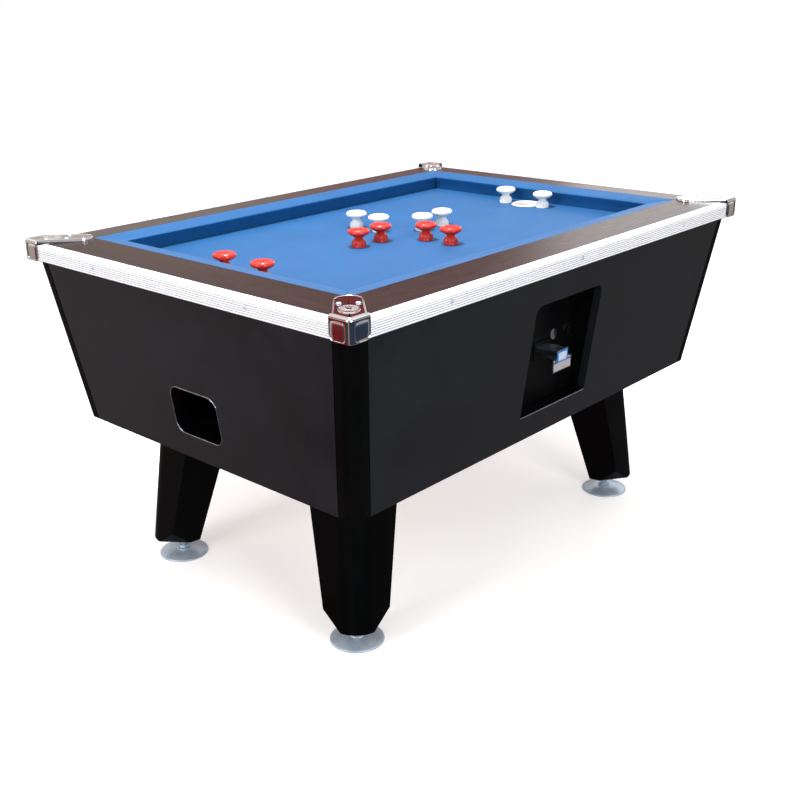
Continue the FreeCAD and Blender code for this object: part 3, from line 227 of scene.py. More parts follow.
def inset(outline, distance):
    """Move every corner of a closed anticlockwise outline inwards."""
    moved = []
    for index, (x, y) in enumerate(outline):
        before = Vector(outline[index - 1])
        after = Vector(outline[(index + 1) % len(outline)])
        here = Vector((x, y))
        first = (here - before).normalized()
        second = (after - here).normalized()
        normal = Vector((-first.y - second.y, first.x + second.x))
        normal.normalize()
        lean = max(normal.dot(Vector((-first.y, first.x))), 0.5)
        moved.append((x + normal.x * distance / lean, y + normal.y * distance / lean))
    return moved


# ---------------------------------------------------------------- finishes

EVEN = (1, 1, 1)


def fill_ramp(ramp, stops):
    """Give a colour ramp its (place, colour) stops."""
    elements = ramp.color_ramp.elements
    while len(elements) < len(stops):
        elements.new(0.5)
    for element, (place, colour) in zip(elements, stops):
        element.position = place
        element.color = (*colour[:3], 1)


class Finish:
    """A material in the making: a shader, and short calls that feed it."""
    WAVE_UNIT = 20

    def __init__(self, name, colour, roughness, metallic=0.0, **sockets):
        self.material = bpy.data.materials.new(name)
        self.material.use_nodes = True
        self.tree = self.material.node_tree
        self.shader = self.tree.nodes["Principled BSDF"]
        self.shader.inputs["Base Color"].default_value = (*colour[:3], 1)
        self.shader.inputs["Roughness"].default_value = roughness
        self.shader.inputs["Metallic"].default_value = metallic
        for socket, value in sockets.items():
            title = socket.replace("_", " ").title().replace("Ior", "IOR")
            self.shader.inputs[title].default_value = value
        self.height = None

    def node(self, kind, **values):
        """Add a node and set its properties."""
        made = self.tree.nodes.new(kind)
        for key, value in values.items():
            setattr(made, key, value)
        return made

    def join(self, source, target):
        """Connect two sockets."""
        self.tree.links.new(source, target)

    def place(self, stretch=EVEN, turn=0):
        """Object coordinates in metres, stretched and turned about Z."""
        where = self.node("ShaderNodeTexCoord")
        mapping = self.node("ShaderNodeMapping")
        mapping.inputs["Scale"].default_value = stretch
        mapping.inputs["Rotation"].default_value = (0, 0, math.radians(turn))
        self.join(where.outputs["Object"], mapping.inputs["Vector"])
        return mapping.outputs["Vector"]

    def noise(self, scale, detail=3, stretch=EVEN, rough=0.5):
        """Noise in object space."""
        made = self.node("ShaderNodeTexNoise")
        made.inputs["Scale"].default_value = scale
        made.inputs["Detail"].default_value = detail
        made.inputs["Roughness"].default_value = rough
        self.join(self.place(stretch), made.inputs["Vector"])
        return made.outputs["Fac"]

    def bands(self, period, turn):
        """Fine threads: sine bands of the given period, in metres."""
        made = self.node("ShaderNodeTexWave", wave_profile="SIN", bands_direction="X")
        made.inputs["Scale"].default_value = math.tau / (self.WAVE_UNIT * period)
        made.inputs["Distortion"].default_value = 0.4
        made.inputs["Detail Scale"].default_value = 2.0
        self.join(self.place(turn=turn), made.inputs["Vector"])
        return made.outputs["Fac"]

    def blend(self, first, share, second, rest):
        """Two factors added, each times its weight."""
        return self.maths("ADD", self.maths("MULTIPLY", first, share), self.maths("MULTIPLY", second, rest))

    def maths(self, operation, first, second):
        """Combine two sockets, or a socket and a number."""
        made = self.node("ShaderNodeMath", operation=operation)
        for index, value in enumerate((first, second)):
            if isinstance(value, (int, float)):
                made.inputs[index].default_value = value
            else:
                self.join(value, made.inputs[index])
        return made.outputs["Value"]

    def spread(self, factor, low, high, start=0.3, end=0.7):
        """Map a factor to a range of numbers."""
        made = self.node("ShaderNodeMapRange")
        for name, value in (("From Min", start), ("From Max", end), ("To Min", low), ("To Max", high)):
            made.inputs[name].default_value = value
        self.join(factor, made.inputs["Value"])
        return made.outputs["Result"]

    def colours(self, factor, stops):
        """Colour the surface by a factor, through (place, colour) stops."""
        ramp = self.node("ShaderNodeValToRGB")
        fill_ramp(ramp, stops)
        self.join(factor, ramp.inputs["Fac"])
        self.join(ramp.outputs["Color"], self.shader.inputs["Base Color"])

    def rough(self, factor, low, high):
        """Vary the roughness by a factor."""
        self.join(self.spread(factor, low, high), self.shader.inputs["Roughness"])

    def relief(self, height, distance, strength=1.0):
        """Bump, on top of any bump that is already there."""
        bump = self.node("ShaderNodeBump")
        bump.inputs["Distance"].default_value = distance
        bump.inputs["Strength"].default_value = strength
        self.join(height, bump.inputs["Height"])
        if self.height is not None:
            self.join(self.height, bump.inputs["Normal"])
        self.height = bump.outputs["Normal"]
        self.join(self.height, self.shader.inputs["Normal"])


def tint(colour, factor):
    """The colour, darker or lighter."""
    return tuple(min(channel * factor, 1) for channel in colour[:3])


def lengthwise(along_x, squeeze):
    """Stretch of a noise that runs along the long sides, or along the short ones."""
    return (squeeze, 1, 1) if along_x else (1, squeeze, 1)


def made_once(name, make):
    """The material of that name, made if it isn't there yet."""
    return bpy.data.materials.get(name) or make()


def cloth():
    """Worsted cloth: crossed threads, a little fuzz, and soft patches where the nap lies over."""
    colour = bpy.context.scene.table_colours.cloth

    def make():
        finish = Finish("blue_cloth", colour, 0.55, specular_ior_level=0.3,
                        sheen_weight=0.06, sheen_roughness=0.4)
        nap = finish.noise(9, 4, rough=0.6)
        fuzz = finish.noise(420, 2)
        finish.colours(finish.blend(nap, 0.6, fuzz, 0.4),
                       [(0.3, tint(colour, 0.86)), (0.7, tint(colour, 1.12))])
        thread = 0.9 * MM
        threads = finish.maths("MULTIPLY", finish.bands(thread, 0), finish.bands(thread, 90))
        finish.relief(threads, 0.08 * MM, 0.5)
        finish.relief(fuzz, 0.15 * MM, 0.4)
        return finish.material

    return made_once("blue_cloth", make)


def rail_laminate(along_x):
    """Dark red-brown laminate with a fine grain along the rail."""
    name = "rail_laminate_long" if along_x else "rail_laminate_short"
    colours = bpy.context.scene.table_colours

    def make():
        finish = Finish(name, colours.rail_light, 0.3, specular_ior_level=0.3)
        grain = lengthwise(along_x, 0.05)
        broad = finish.noise(38, 4, grain, 0.6)
        pores = finish.noise(330, 3, grain, 0.7)
        light = colours.rail_light
        finish.colours(finish.blend(broad, 0.55, pores, 0.45),
                       [(0.34, colours.rail_dark), (0.5, tint(light, 0.85)), (0.68, tint(light, 1.2))])
        finish.rough(pores, 0.26, 0.38)
        finish.relief(pores, 0.05 * MM, 0.5)
        return finish.material

    return made_once(name, make)


def weathered(name, colour, roughness, tone, stops, shine, relief, gloss=None, bump=None, **sockets):
    """A finish with noise in its tone, its gloss and its relief.

    tone, gloss and bump are settings of noises, and gloss and bump are tone where they aren't given.
    stops are the tone's colours, shine the lowest and highest roughness, and relief the bump's depth
    and strength.
    """
    gloss, bump = gloss or tone, bump or tone

    def make():
        finish = Finish(name, colour, roughness, **sockets)
        noises = {settings: finish.noise(*settings) for settings in dict.fromkeys((tone, gloss, bump))}
        finish.colours(noises[tone], stops)
        finish.rough(noises[gloss], *shine)
        finish.relief(noises[bump], *relief)
        return finish.material

    return made_once(name, make)


def black_laminate(name, colour, shine):
    """Satin black laminate with a fine pebble and faint handling marks."""
    smudge, pebble = (5, 5, EVEN, 0.65), (900, 2)
    return weathered(name, colour, 0.42, smudge, [(0.35, tint(colour, 0.8)), (0.7, tint(colour, 1.35))],
                     (0.36, 0.5), (0.04 * MM, 0.5), bump=pebble, specular_ior_level=shine)


def black_paint():
    """Black paint on steel: slightly uneven gloss and a fine orange peel."""
    dust, peel = (14, 5, EVEN, 0.7), (260, 2)
    return weathered("black_paint", (0.0015, 0.0015, 0.0018), 0.4, dust,
                     [(0.4, (0.001, 0.001, 0.0012)), (0.75, (0.003, 0.003, 0.0035))],
                     (0.28, 0.46), (0.05 * MM, 0.5), bump=peel, specular_ior_level=0.12)


def chrome():
    """Polished chrome with faint wipe marks and a few pits."""
    wipe, pits = (60, 4, (1, 0.3, 1), 0.6), (420, 2)
    return weathered("polished_chrome", (0.80, 0.80, 0.81), 0.08, wipe,
                     [(0.3, (0.72, 0.72, 0.74)), (0.7, (0.84, 0.84, 0.84))],
                     (0.05, 0.13), (0.03 * MM, 0.25), bump=pits, metallic=1.0)


def bright_aluminium(along_x):
    """Bright aluminium, brushed along the trim."""
    name = "bright_aluminium_long" if along_x else "bright_aluminium_short"
    return weathered(name, (0.82, 0.84, 0.88), 0.32, (300, 3, lengthwise(along_x, 0.02), 0.6),
                     [(0.3, (0.76, 0.79, 0.84)), (0.7, (0.88, 0.89, 0.91))],
                     (0.24, 0.36), (0.004 * MM, 0.3), metallic=0.25)


def groove_shade():
    """Painted shade for the grooves between ribs: darker, duller aluminium that stands in for the shade
    falling in them.
    """
    return weathered("groove_shade", (0.38, 0.39, 0.43), 0.45, (120, 4, EVEN, 0.65),
                     [(0.3, (0.32, 0.33, 0.37)), (0.7, (0.44, 0.45, 0.49))],
                     (0.35, 0.55), (0.004 * MM, 0.4), metallic=0.4)


def satin_nickel():
    """Nickel-plated steel of the coin slide, worn by hands and coins."""
    return weathered("satin_nickel", (0.62, 0.72, 0.84), 0.16, (90, 5, (1, 0.25, 1), 0.7),
                     [(0.3, (0.46, 0.56, 0.70)), (0.7, (0.70, 0.80, 0.90))],
                     (0.2, 0.42), (0.05 * MM, 0.5), metallic=1.0)


def worn_edge():
    """Dark steel edge, rubbed bright."""
    return weathered("worn_edge", (0.34, 0.38, 0.44), 0.25, (40, 4, EVEN, 0.6),
                     [(0.3, (0.20, 0.22, 0.26)), (0.7, (0.48, 0.54, 0.62))],
                     (0.16, 0.34), (0.01 * MM, 0.3), metallic=1.0)


def brushed_face():
    """Brushed face of the coin slide's front plate."""
    return weathered("brushed_face", (0.42, 0.40, 0.40), 0.4, (700, 3, (1, 1, 6), 0.6),
                     [(0.3, (0.34, 0.32, 0.33)), (0.7, (0.50, 0.47, 0.47))],
                     (0.32, 0.5), (0.01 * MM, 0.4), metallic=0.4)


def label_card():
    """Printed card with a pale ground and faint paper grain."""
    return weathered("label_card", (0.34, 0.40, 0.48), 0.5, (900, 3),
                     [(0.3, (0.30, 0.36, 0.45)), (0.7, (0.38, 0.44, 0.52))],
                     (0.4, 0.6), (0.01 * MM, 0.3))


def zinc_steel():
    """Zinc-plated steel, blotchy and a little dull."""
    def make():
        finish = Finish("zinc_steel", (0.50, 0.62, 0.74), 0.34, 0.4)
        spangle = finish.node("ShaderNodeTexVoronoi")
        spangle.inputs["Scale"].default_value = 260
        finish.join(finish.place(), spangle.inputs["Vector"])
        stain = finish.noise(22, 5, rough=0.7)
        finish.colours(finish.blend(spangle.outputs["Distance"], 0.2, stain, 0.9),
                       [(0.35, (0.34, 0.47, 0.62)), (0.8, (0.66, 0.72, 0.78))])
        finish.rough(stain, 0.28, 0.5)
        finish.relief(stain, 0.08 * MM, 0.4)
        return finish.material

    return made_once("zinc_steel", make)


def gloss_plastic(name, colour):
    """Moulded gloss plastic with soft flow marks and small scuffs."""
    flow, scuffs = (45, 3), (300, 4, (1, 1, 0.2), 0.7)
    return weathered(name, colour, 0.25, flow, [(0.3, tint(colour, 0.88)), (0.7, tint(colour, 1.08))],
                     (0.16, 0.3), (0.01 * MM, 0.3), gloss=scuffs, bump=scuffs,
                     coat_weight=0.2, coat_roughness=0.1, specular_ior_level=0.35)


def dull_plastic():
    """Black moulded plastic of the hidden ball runways."""
    grain = (500, 3)
    return weathered("runway_black", (0.03, 0.03, 0.032), 0.55, (12, 4),
                     [(0.3, (0.02, 0.02, 0.022)), (0.7, (0.05, 0.05, 0.05))],
                     (0.45, 0.65), (0.08 * MM, 0.6), gloss=grain, bump=grain)


def bare_wood():
    """Plywood of the floor and the bed's frame."""
    return weathered("bare_plywood", (0.16, 0.10, 0.055), 0.7, (60, 5, (0.06, 1, 1), 0.65),
                     [(0.32, (0.10, 0.055, 0.028)), (0.68, (0.24, 0.15, 0.085))],
                     (0.6, 0.8), (0.2 * MM, 0.5))


def honed_slate():
    """Blue-grey slate."""
    return weathered("honed_slate", (0.10, 0.11, 0.12), 0.6, (30, 6, (1, 1, 6), 0.7),
                     [(0.3, (0.06, 0.065, 0.07)), (0.7, (0.16, 0.17, 0.18))],
                     (0.5, 0.7), (0.2 * MM, 0.4))


def dress(node, material):
    """Give a CAD node its finish."""
    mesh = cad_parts[node].data
    mesh.materials.clear()
    mesh.materials.append(material)


# ---------------------------------------------------------------- settings

class TableSizes(bpy.types.PropertyGroup):
    """Sizes of the details that the CAD frame leaves plain."""
    rib_pitch: bpy.props.FloatProperty(
        name="Rib pitch", description="Step between the trim's ribs", default=4.3 * MM, unit="LENGTH")
    rib_depth: bpy.props.FloatProperty(
        name="Rib depth", description="Depth of the grooves between ribs", default=0.5 * MM, unit="LENGTH")
    smooth_band: bpy.props.FloatProperty(
        name="Smooth band", description="Plain band above the ribs", default=6.5 * MM, unit="LENGTH")
    cushion_crown: bpy.props.FloatProperty(
        name="Cushion crown", description="Swell of the cushion's top", default=0.6 * MM, unit="LENGTH")
    nose_radius: bpy.props.FloatProperty(
        name="Nose radius", description="Rounding of the cushion's nose", default=3 * MM, unit="LENGTH")
    flutes: bpy.props.IntProperty(
        name="Flutes", description="Flutes round a bumper's foot", default=13, min=3, max=60)
    badge_rays: bpy.props.IntProperty(
        name="Badge rays", description="Rays of the pattern on a corner casting", default=16, min=4, max=48)


class TableColours(bpy.types.PropertyGroup):
    """Main colours."""
    cloth: bpy.props.FloatVectorProperty(
        name="Cloth", description="Bed and cushion cloth", subtype="COLOR", default=(0.003, 0.078, 0.225))
    rail_dark: bpy.props.FloatVectorProperty(
        name="Rail grain", description="Dark lines of the rails' grain", subtype="COLOR",
        default=(0.011, 0.005, 0.004))
    rail_light: bpy.props.FloatVectorProperty(
        name="Rail", description="Red-brown ground of the rails", subtype="COLOR",
        default=(0.020, 0.0085, 0.0065))
    cabinet: bpy.props.FloatVectorProperty(
        name="Cabinet", description="Cabinet panels", subtype="COLOR", default=(0.0062, 0.0075, 0.0105))
    legs: bpy.props.FloatVectorProperty(
        name="Legs", description="Legs and corner posts", subtype="COLOR", default=(0.0012, 0.0014, 0.0016))
    red: bpy.props.FloatVectorProperty(
        name="Red", description="Red bumpers", subtype="COLOR", default=(0.58, 0.026, 0.016))
    label: bpy.props.FloatVectorProperty(
        name="Label", description="Frame of the coin slide's card", subtype="COLOR",
        default=(0.03, 0.17, 0.50))
    white: bpy.props.FloatVectorProperty(
        name="White", description="White bumpers and goal rings", subtype="COLOR",
        default=(0.82, 0.82, 0.80))


# ---------------------------------------------------------------- bed and cushions

class OBJECT_OT_pool_bed(bpy.types.Operator):
    """Dress the slate and stretch the cloth over it"""
    bl_idname = "object.pool_bed"
    bl_label = "Bed and Cloth"

    CORNER_NOTCH = 24 * MM
    UNDER_RING = 4 * MM
    HOLE_POINTS = 48

    def execute(self, context):
        dress("slate_bed", honed_slate())
        dress("bed_support_frame", bare_wood())
        low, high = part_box("bed_cloth")
        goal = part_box("goal_liner_left")
        goal_x = (goal[0].x + goal[1].x) / 2
        hole = (goal[1].x - goal[0].x) / 2 - self.UNDER_RING
        mesh = bpy.data.meshes.new("stretched_cloth")
        work = bmesh.new()
        notch = self.CORNER_NOTCH
        outline = [(high.x - notch, low.y), (high.x - notch, low.y + notch), (high.x, low.y + notch),
                   (high.x, high.y - notch), (high.x - notch, high.y - notch), (high.x - notch, high.y),
                   (low.x + notch, high.y), (low.x + notch, high.y - notch), (low.x, high.y - notch),
                   (low.x, low.y + notch), (low.x + notch, low.y + notch), (low.x + notch, low.y)]
        sides = self.HOLE_POINTS - 1
        last_angle = 360 * sides / self.HOLE_POINTS
        loops = [outline] + [arc(x, 0, hole, 0, last_angle, sides) for x in (goal_x, -goal_x)]
        edges = []
        for loop in loops:
            corners = [work.verts.new((x, y, high.z)) for x, y in loop]
            edges += [work.edges.new((corners[i - 1], corners[i])) for i in range(len(corners))]
        bmesh.ops.triangle_fill(work, use_beauty=True, use_dissolve=False, edges=edges)
        for face in work.faces:
            if face.normal.z < 0:
                face.normal_flip()
        work.to_mesh(mesh)
        work.free()
        sheet = link("stretched_cloth", mesh, cloth(), TABLE, ["bed_cloth"])
        return {"FINISHED"}


class OBJECT_OT_pool_cushions(bpy.types.Operator):
    """Cover the four rubber cushions with cloth, from the rail to the bed"""
    bl_idname = "object.pool_cushions"
    bl_label = "Cushions"

    NOSE_GAP = 0.6 * MM
    NOSE_DROP = 7.6 * MM
    TOP_FALL = 0.94
    UNDERCUT = 11 * MM
    OFF_THE_BED = 0.4 * MM
    FACE_HOLLOW = 1.4 * MM
    TONGUE = 19 * MM
    TONGUE_LOW = 5 * MM
    TONGUE_HIGH = 4 * MM
    SOFT_POINTS = range(2, 21)
    TONGUE_SEAM = 0.35 * MM
    SEAM = 0.5 * MM
    CUTS = 80
    WAVE = 0.35 * MM
    PINCH = 0.5 * MM
    PINCH_START = 0.985
    PINCH_LENGTH = 0.015

    def profile(self, sizes):
        """Section of a cushion: crowned top, round nose, hollow face, flat back."""
        start, nose, drop = CUSHION_START, CUSHION_NOSE - self.NOSE_GAP, self.NOSE_DROP
        foot, bed = nose - self.UNDERCUT, BED_TOP + self.OFF_THE_BED
        points = []
        for step in range(9):
            t = step / 8
            x = start + (nose - sizes.nose_radius - start) * t
            crown = sizes.cushion_crown * math.sin(math.pi * t)
            points.append((x, RAIL_TOP - drop * t * self.TOP_FALL + crown))
        centre = RAIL_TOP - drop - sizes.nose_radius
        points += arc(nose - sizes.nose_radius, centre, sizes.nose_radius, 70, -15, 6)
        top_x, top_z = points[-1]
        for step in range(1, 7):
            t = step / 6
            hollow = self.FACE_HOLLOW * math.sin(math.pi * t)
            points.append((top_x + (foot - top_x) * t - hollow, top_z + (bed - top_z) * t))
        points += [(start + self.TONGUE, bed), (start + self.TONGUE, RAIL_TOP - self.TONGUE_LOW),
                   (start, RAIL_TOP - self.TONGUE_HIGH)]
        return points

    def execute(self, context):
        profile = self.profile(context.scene.table_sizes)
        for side in SIDES:
            rings = []
            for cut in range(self.CUTS + 1):
                t = 2 * cut / self.CUTS - 1
                ring = []
                for index, (inward, height) in enumerate(profile):
                    seam = self.SEAM if inward > CUSHION_START + 1 * MM else self.TONGUE_SEAM
                    along = t * (half_along(side) - inward - seam)
                    soft = 1 if index in self.SOFT_POINTS else 0
                    wave = noise.noise(Vector((along * 9, inward * 20, SIDES.index(side) * 7.0)))
                    pinch = self.PINCH * max(0, abs(t) - self.PINCH_START) / self.PINCH_LENGTH
                    height += soft * (wave * self.WAVE - pinch)
                    ring.append(side_point(side, along, inward, height))
                rings.append(ring)
            mesh = rings_to_mesh("cushion_cover_" + side, rings, crease=50)
            cover = link("cushion_cover_" + side, mesh, cloth(), TABLE, ["cushion_" + side])
        return {"FINISHED"}


# ---------------------------------------------------------------- rails, trims and castings

class OBJECT_OT_pool_rails(bpy.types.Operator):
    """Give the four rails their wood-grain laminate"""
    bl_idname = "object.pool_rails"
    bl_label = "Rails"

    def execute(self, context):
        for side in SIDES:
            dress("rail_" + side, rail_laminate(side in ("coin", "far")))
        return {"FINISHED"}


class OBJECT_OT_pool_trims(bpy.types.Operator):
    """Make the ribbed aluminium trims"""
    bl_idname = "object.pool_trims"
    bl_label = "Trims"

    RIB = ((0.0, 1.0), (0.16, 1.0), (0.24, 0.25), (0.34, 0.05), (0.58, 0.0), (0.82, 0.05), (0.92, 0.25))
    WALL = 3 * MM
    FALL = 2.8 * MM
    EDGE_RADIUS = 1 * MM
    FLANGE_RIBS = 4
    FLANGE_STEPS = 5
    FLANGE_START = 3.5 * MM
    FLANGE_RUN = TRIM_LIP - 4 * MM
    FLANGE_BAND = 4 * MM
    FACE_BAND = 9 * MM

    def profile(self, sizes):
        """Section of a trim, anticlockwise from the lower outer edge: (inward, height)."""
        wall, edge = self.WALL, self.EDGE_RADIUS
        low, top = TRIM_BOTTOM, TRIM_TOP - self.FALL
        ribs_top = top - sizes.smooth_band
        count = int((ribs_top - low) / sizes.rib_pitch)
        pitch = (ribs_top - low) / count
        points = []
        for rib in range(count):
            for along, inward in self.RIB:
                points.append((sizes.rib_depth * inward, low + pitch * (rib + along)))
        points.append((sizes.rib_depth, ribs_top))
        points.append((0.15 * MM, ribs_top + 0.5 * MM))
        points += [(x + edge, z + top - edge) for x, z in arc(0, 0, edge, 180, 110, 4)]
        for rib in range(self.FLANGE_RIBS):
            for step in range(self.FLANGE_STEPS):
                t = step / self.FLANGE_STEPS
                x = self.FLANGE_START + self.FLANGE_RUN * (rib + t) / self.FLANGE_RIBS
                groove = sizes.rib_depth * 0.6 * (1 - math.sin(math.pi * t) ** 0.6)
                points.append((x, top + self.FALL * x / TRIM_LIP - groove))
        points += [(TRIM_LIP, TRIM_TOP), (TRIM_LIP, TRIM_TOP - wall), (wall, top - wall), (wall, low)]
        return points

    def paint_shade_in_grooves(self, mesh, side, sizes):
        """Paint shade into the grooves: the narrow faces at the bottom of each groove, on the face and on
        the flange, get the darker finish.
        """
        deep = sizes.rib_depth * 0.45
        for face in mesh.polygons:
            inward, height = inward_of(side, face.center), face.center.z
            on_flange = inward > self.FLANGE_START and height > TRIM_TOP - self.FLANGE_BAND
            # Painted shade: faces deep in a groove of the face, and sunk faces of the flange, take the
            # second slot.
            if deep < inward < sizes.rib_depth * 1.02 and height < TRIM_TOP - self.FACE_BAND:
                face.material_index = 1
            elif on_flange and face.normal.z > 0.3:
                flat = TRIM_TOP - self.FALL * (1 - inward / TRIM_LIP)
                face.material_index = 1 if height < flat - 0.25 * sizes.rib_depth else 0

    def execute(self, context):
        profile = self.profile(context.scene.table_sizes)
        for side in SIDES:
            half = half_along(side)
            rings = []
            for t in (-1, -0.5, 0, 0.5, 1):
                rings.append([side_point(side, t * (half - inward), inward, height)
                              for inward, height in profile])
            mesh = rings_to_mesh("ribbed_trim_" + side, rings, crease=45)
            material = bright_aluminium(side in ("coin", "far"))
            link("ribbed_trim_" + side, mesh, material, TABLE, ["trim_" + side])
            # Second slot: painted shade for the bottoms of the grooves.
            mesh.materials.append(groove_shade())
            self.paint_shade_in_grooves(mesh, side, context.scene.table_sizes)
        return {"FINISHED"}


class OBJECT_OT_pool_castings(bpy.types.Operator):
    """Make the chrome corner castings: rimmed top plate, oval badge and two swelling skirts"""
    bl_idname = "object.pool_castings"
    bl_label = "Corner Castings"

    PLATE_EDGE = 3.4 * MM
    SKIRT_LENGTH = 50 * MM
    SHOULDER = 7 * MM
    END_PLACE = 89 * MM
    END_RADIUS = 27 * MM
    PLATE_TOP = RAIL_TOP + 4 * MM
    PLATE_CORNER = 4 * MM
    PLATE_STEPS = ((0, -9.2), (0, -0.9), (0.3, -0.2), (0.8, 0.2), (1.4, 0.3), (2.0, 0.1), (2.6, -0.4),
                   (3.2, -0.5), (3.5, -0.5), (6, -0.5))
    BADGE_PLACE = 42 * MM
    BADGE_BASE = RAIL_TOP + 3.4 * MM
    BADGE_HALF = (25 * MM, 20 * MM)
    BADGE_STEPS = ((1.0, 0), (0.97, 1.4), (0.93, 1.7), (0.88, 1.7), (0.84, 1.2), (0.78, 1.0), (0.55, 1.2),
                   (0.32, 1.5), (0.28, 1.9), (0.16, 2.1), (0.05, 2.2))
    RAY_HEIGHT = 0.35 * MM
    SKIRT_RADIUS = 7 * MM
    COLUMNS, ROWS, ROUND_ROWS = 150, 56, 12
    STAND = 1.6 * MM
    BEAD = 1.5 * MM
    PILLOW = 1.9 * MM
    EDGE_FALL = 2.8 * MM
    CORNER_LIFT = 10 * MM

    def plate_outline(self):
        """Plan of the top plate, anticlockwise from the table's corner."""
        edge, reach = self.PLATE_EDGE, self.SKIRT_LENGTH
        centre = edge + self.PLATE_CORNER
        points = arc(centre, centre, self.PLATE_CORNER, 180, 270, 8)
        points += [(edge + (reach - edge) * t, edge) for t in (0.4, 0.7, 0.92)]
        points += arc(self.END_PLACE, self.END_PLACE, self.END_RADIUS, -45, 135, 32)
        points += [(edge, edge + (reach - edge) * t) for t in (0.92, 0.7, 0.4)]
        return points

    def plate(self, corner):
        """Top plate with a raised rim round a slightly sunk field."""
        outline = self.plate_outline()
        rings = []
        for distance, height in self.PLATE_STEPS:
            plan = inset(outline, distance * MM)
            rings.append([corner_point(corner, x, y, self.PLATE_TOP + height * MM) for x, y in plan])
        return rings_to_mesh("plate", rings, crease=40)

    def badge(self, corner, rays):
        """Oval boss with a raised edge and a plain sunburst."""
        steps = 96
        rings = []
        for scale, height in self.BADGE_STEPS:
            ring = []
            for step in range(steps):
                angle = math.tau * step / steps
                along = self.BADGE_HALF[0] * scale * math.cos(angle)
                across = self.BADGE_HALF[1] * scale * math.sin(angle)
                fluted = 0.3 < scale < 0.8
                ripple = self.RAY_HEIGHT * math.cos(angle * rays) if fluted else 0
                x = self.BADGE_PLACE + (along - across) / math.sqrt(2)
                y = self.BADGE_PLACE + (along + across) / math.sqrt(2)
                ring.append(corner_point(corner, x, y, self.BADGE_BASE + height * MM + ripple))
            rings.append(ring)
        return rings_to_mesh("badge", rings, crease=30)

    def skirt(self, corner):
        """Two framed, swelling facets that meet in a narrow band round the corner."""
        radius, reach = self.SKIRT_RADIUS, self.SKIRT_LENGTH
        straight = reach - radius
        band = radius * math.pi / 2
        total = 2 * straight + band
        low, high = CASTING_BOTTOM, self.PLATE_TOP
        rings = []
        for column in range(self.COLUMNS + 1):
            s = total * column / self.COLUMNS
            if s < straight:
                x, y, normal = reach - s, 0.0, Vector((0, -1))
                facet = 2 * s / straight - 1
            elif s < straight + band:
                angle = (s - straight) / radius
                normal = Vector((-math.sin(angle), -math.cos(angle)))
                x, y = radius + radius * normal.x, radius + radius * normal.y
                facet = None
            else:
                x, y, normal = 0.0, radius + s - straight - band, Vector((-1, 0))
                facet = 1 - 2 * (s - straight - band) / straight
            ring = []
            for row in range(self.ROWS + 1):
                v = row / self.ROWS
                height = low + (high - self.SHOULDER - low) * v + self.lower_corner(facet, v)
                out = self.swell(facet, v)
                ring.append(corner_point(corner, x + normal.x * out, y + normal.y * out, height))
            edge = self.swell(facet, 1)
            for row in range(1, self.ROUND_ROWS + 1):
                turn = math.pi / 2 * row / self.ROUND_ROWS
                out = edge - self.SHOULDER * (1 - math.cos(turn))
                height = high - self.SHOULDER * (1 - math.sin(turn))
                ring.append(corner_point(corner, x + normal.x * out, y + normal.y * out, height))
            rings.append(ring)
        return rings_to_mesh("skirt", rings, closed=False, cap=False, crease=60)

    def swell(self, facet, v):
        """How far the skirt stands out of the trim's face: a bead round a pillow.

        facet runs from -1 at the outer end to 1 at the corner, and v from 0 below to 1 above.
        """
        b = abs(2 * v - 1)
        lower = max(1 - 2 * v, 0)
        if facet is None:
            across, outer = 1, 0
        else:
            across, outer = min(abs(facet), 1), max(-facet, 0)
        away = min((across ** 5 + b ** 5) ** 0.2, 0.9)
        bead = self.BEAD * math.exp(-((away - 0.9) / 0.03) ** 2)
        pillow = self.PILLOW * max(1 - (away / 0.88) ** 6, 0)
        edge = ((outer ** 5 + lower ** 5) ** 0.2 - 0.93) / 0.15
        return self.STAND + bead + pillow - self.EDGE_FALL * min(max(edge, 0), 1)

    def lower_corner(self, facet, v):
        """Round off the skirt's lower outer corner."""
        if facet is None or v > 0.5:
            return 0
        outer = max(0, (-facet - 0.45) / 0.55)
        return self.CORNER_LIFT * outer ** 2.5 * (1 - v / 0.5)

    def execute(self, context):
        rays = context.scene.table_sizes.badge_rays
        for corner in CORNERS:
            parts = [self.plate(corner), self.badge(corner, rays), self.skirt(corner)]
            name = "chrome_casting_" + corner
            link(name, join_meshes(name, parts), chrome(), TABLE,
                 ["corner_casting_" + corner])
        return {"FINISHED"}


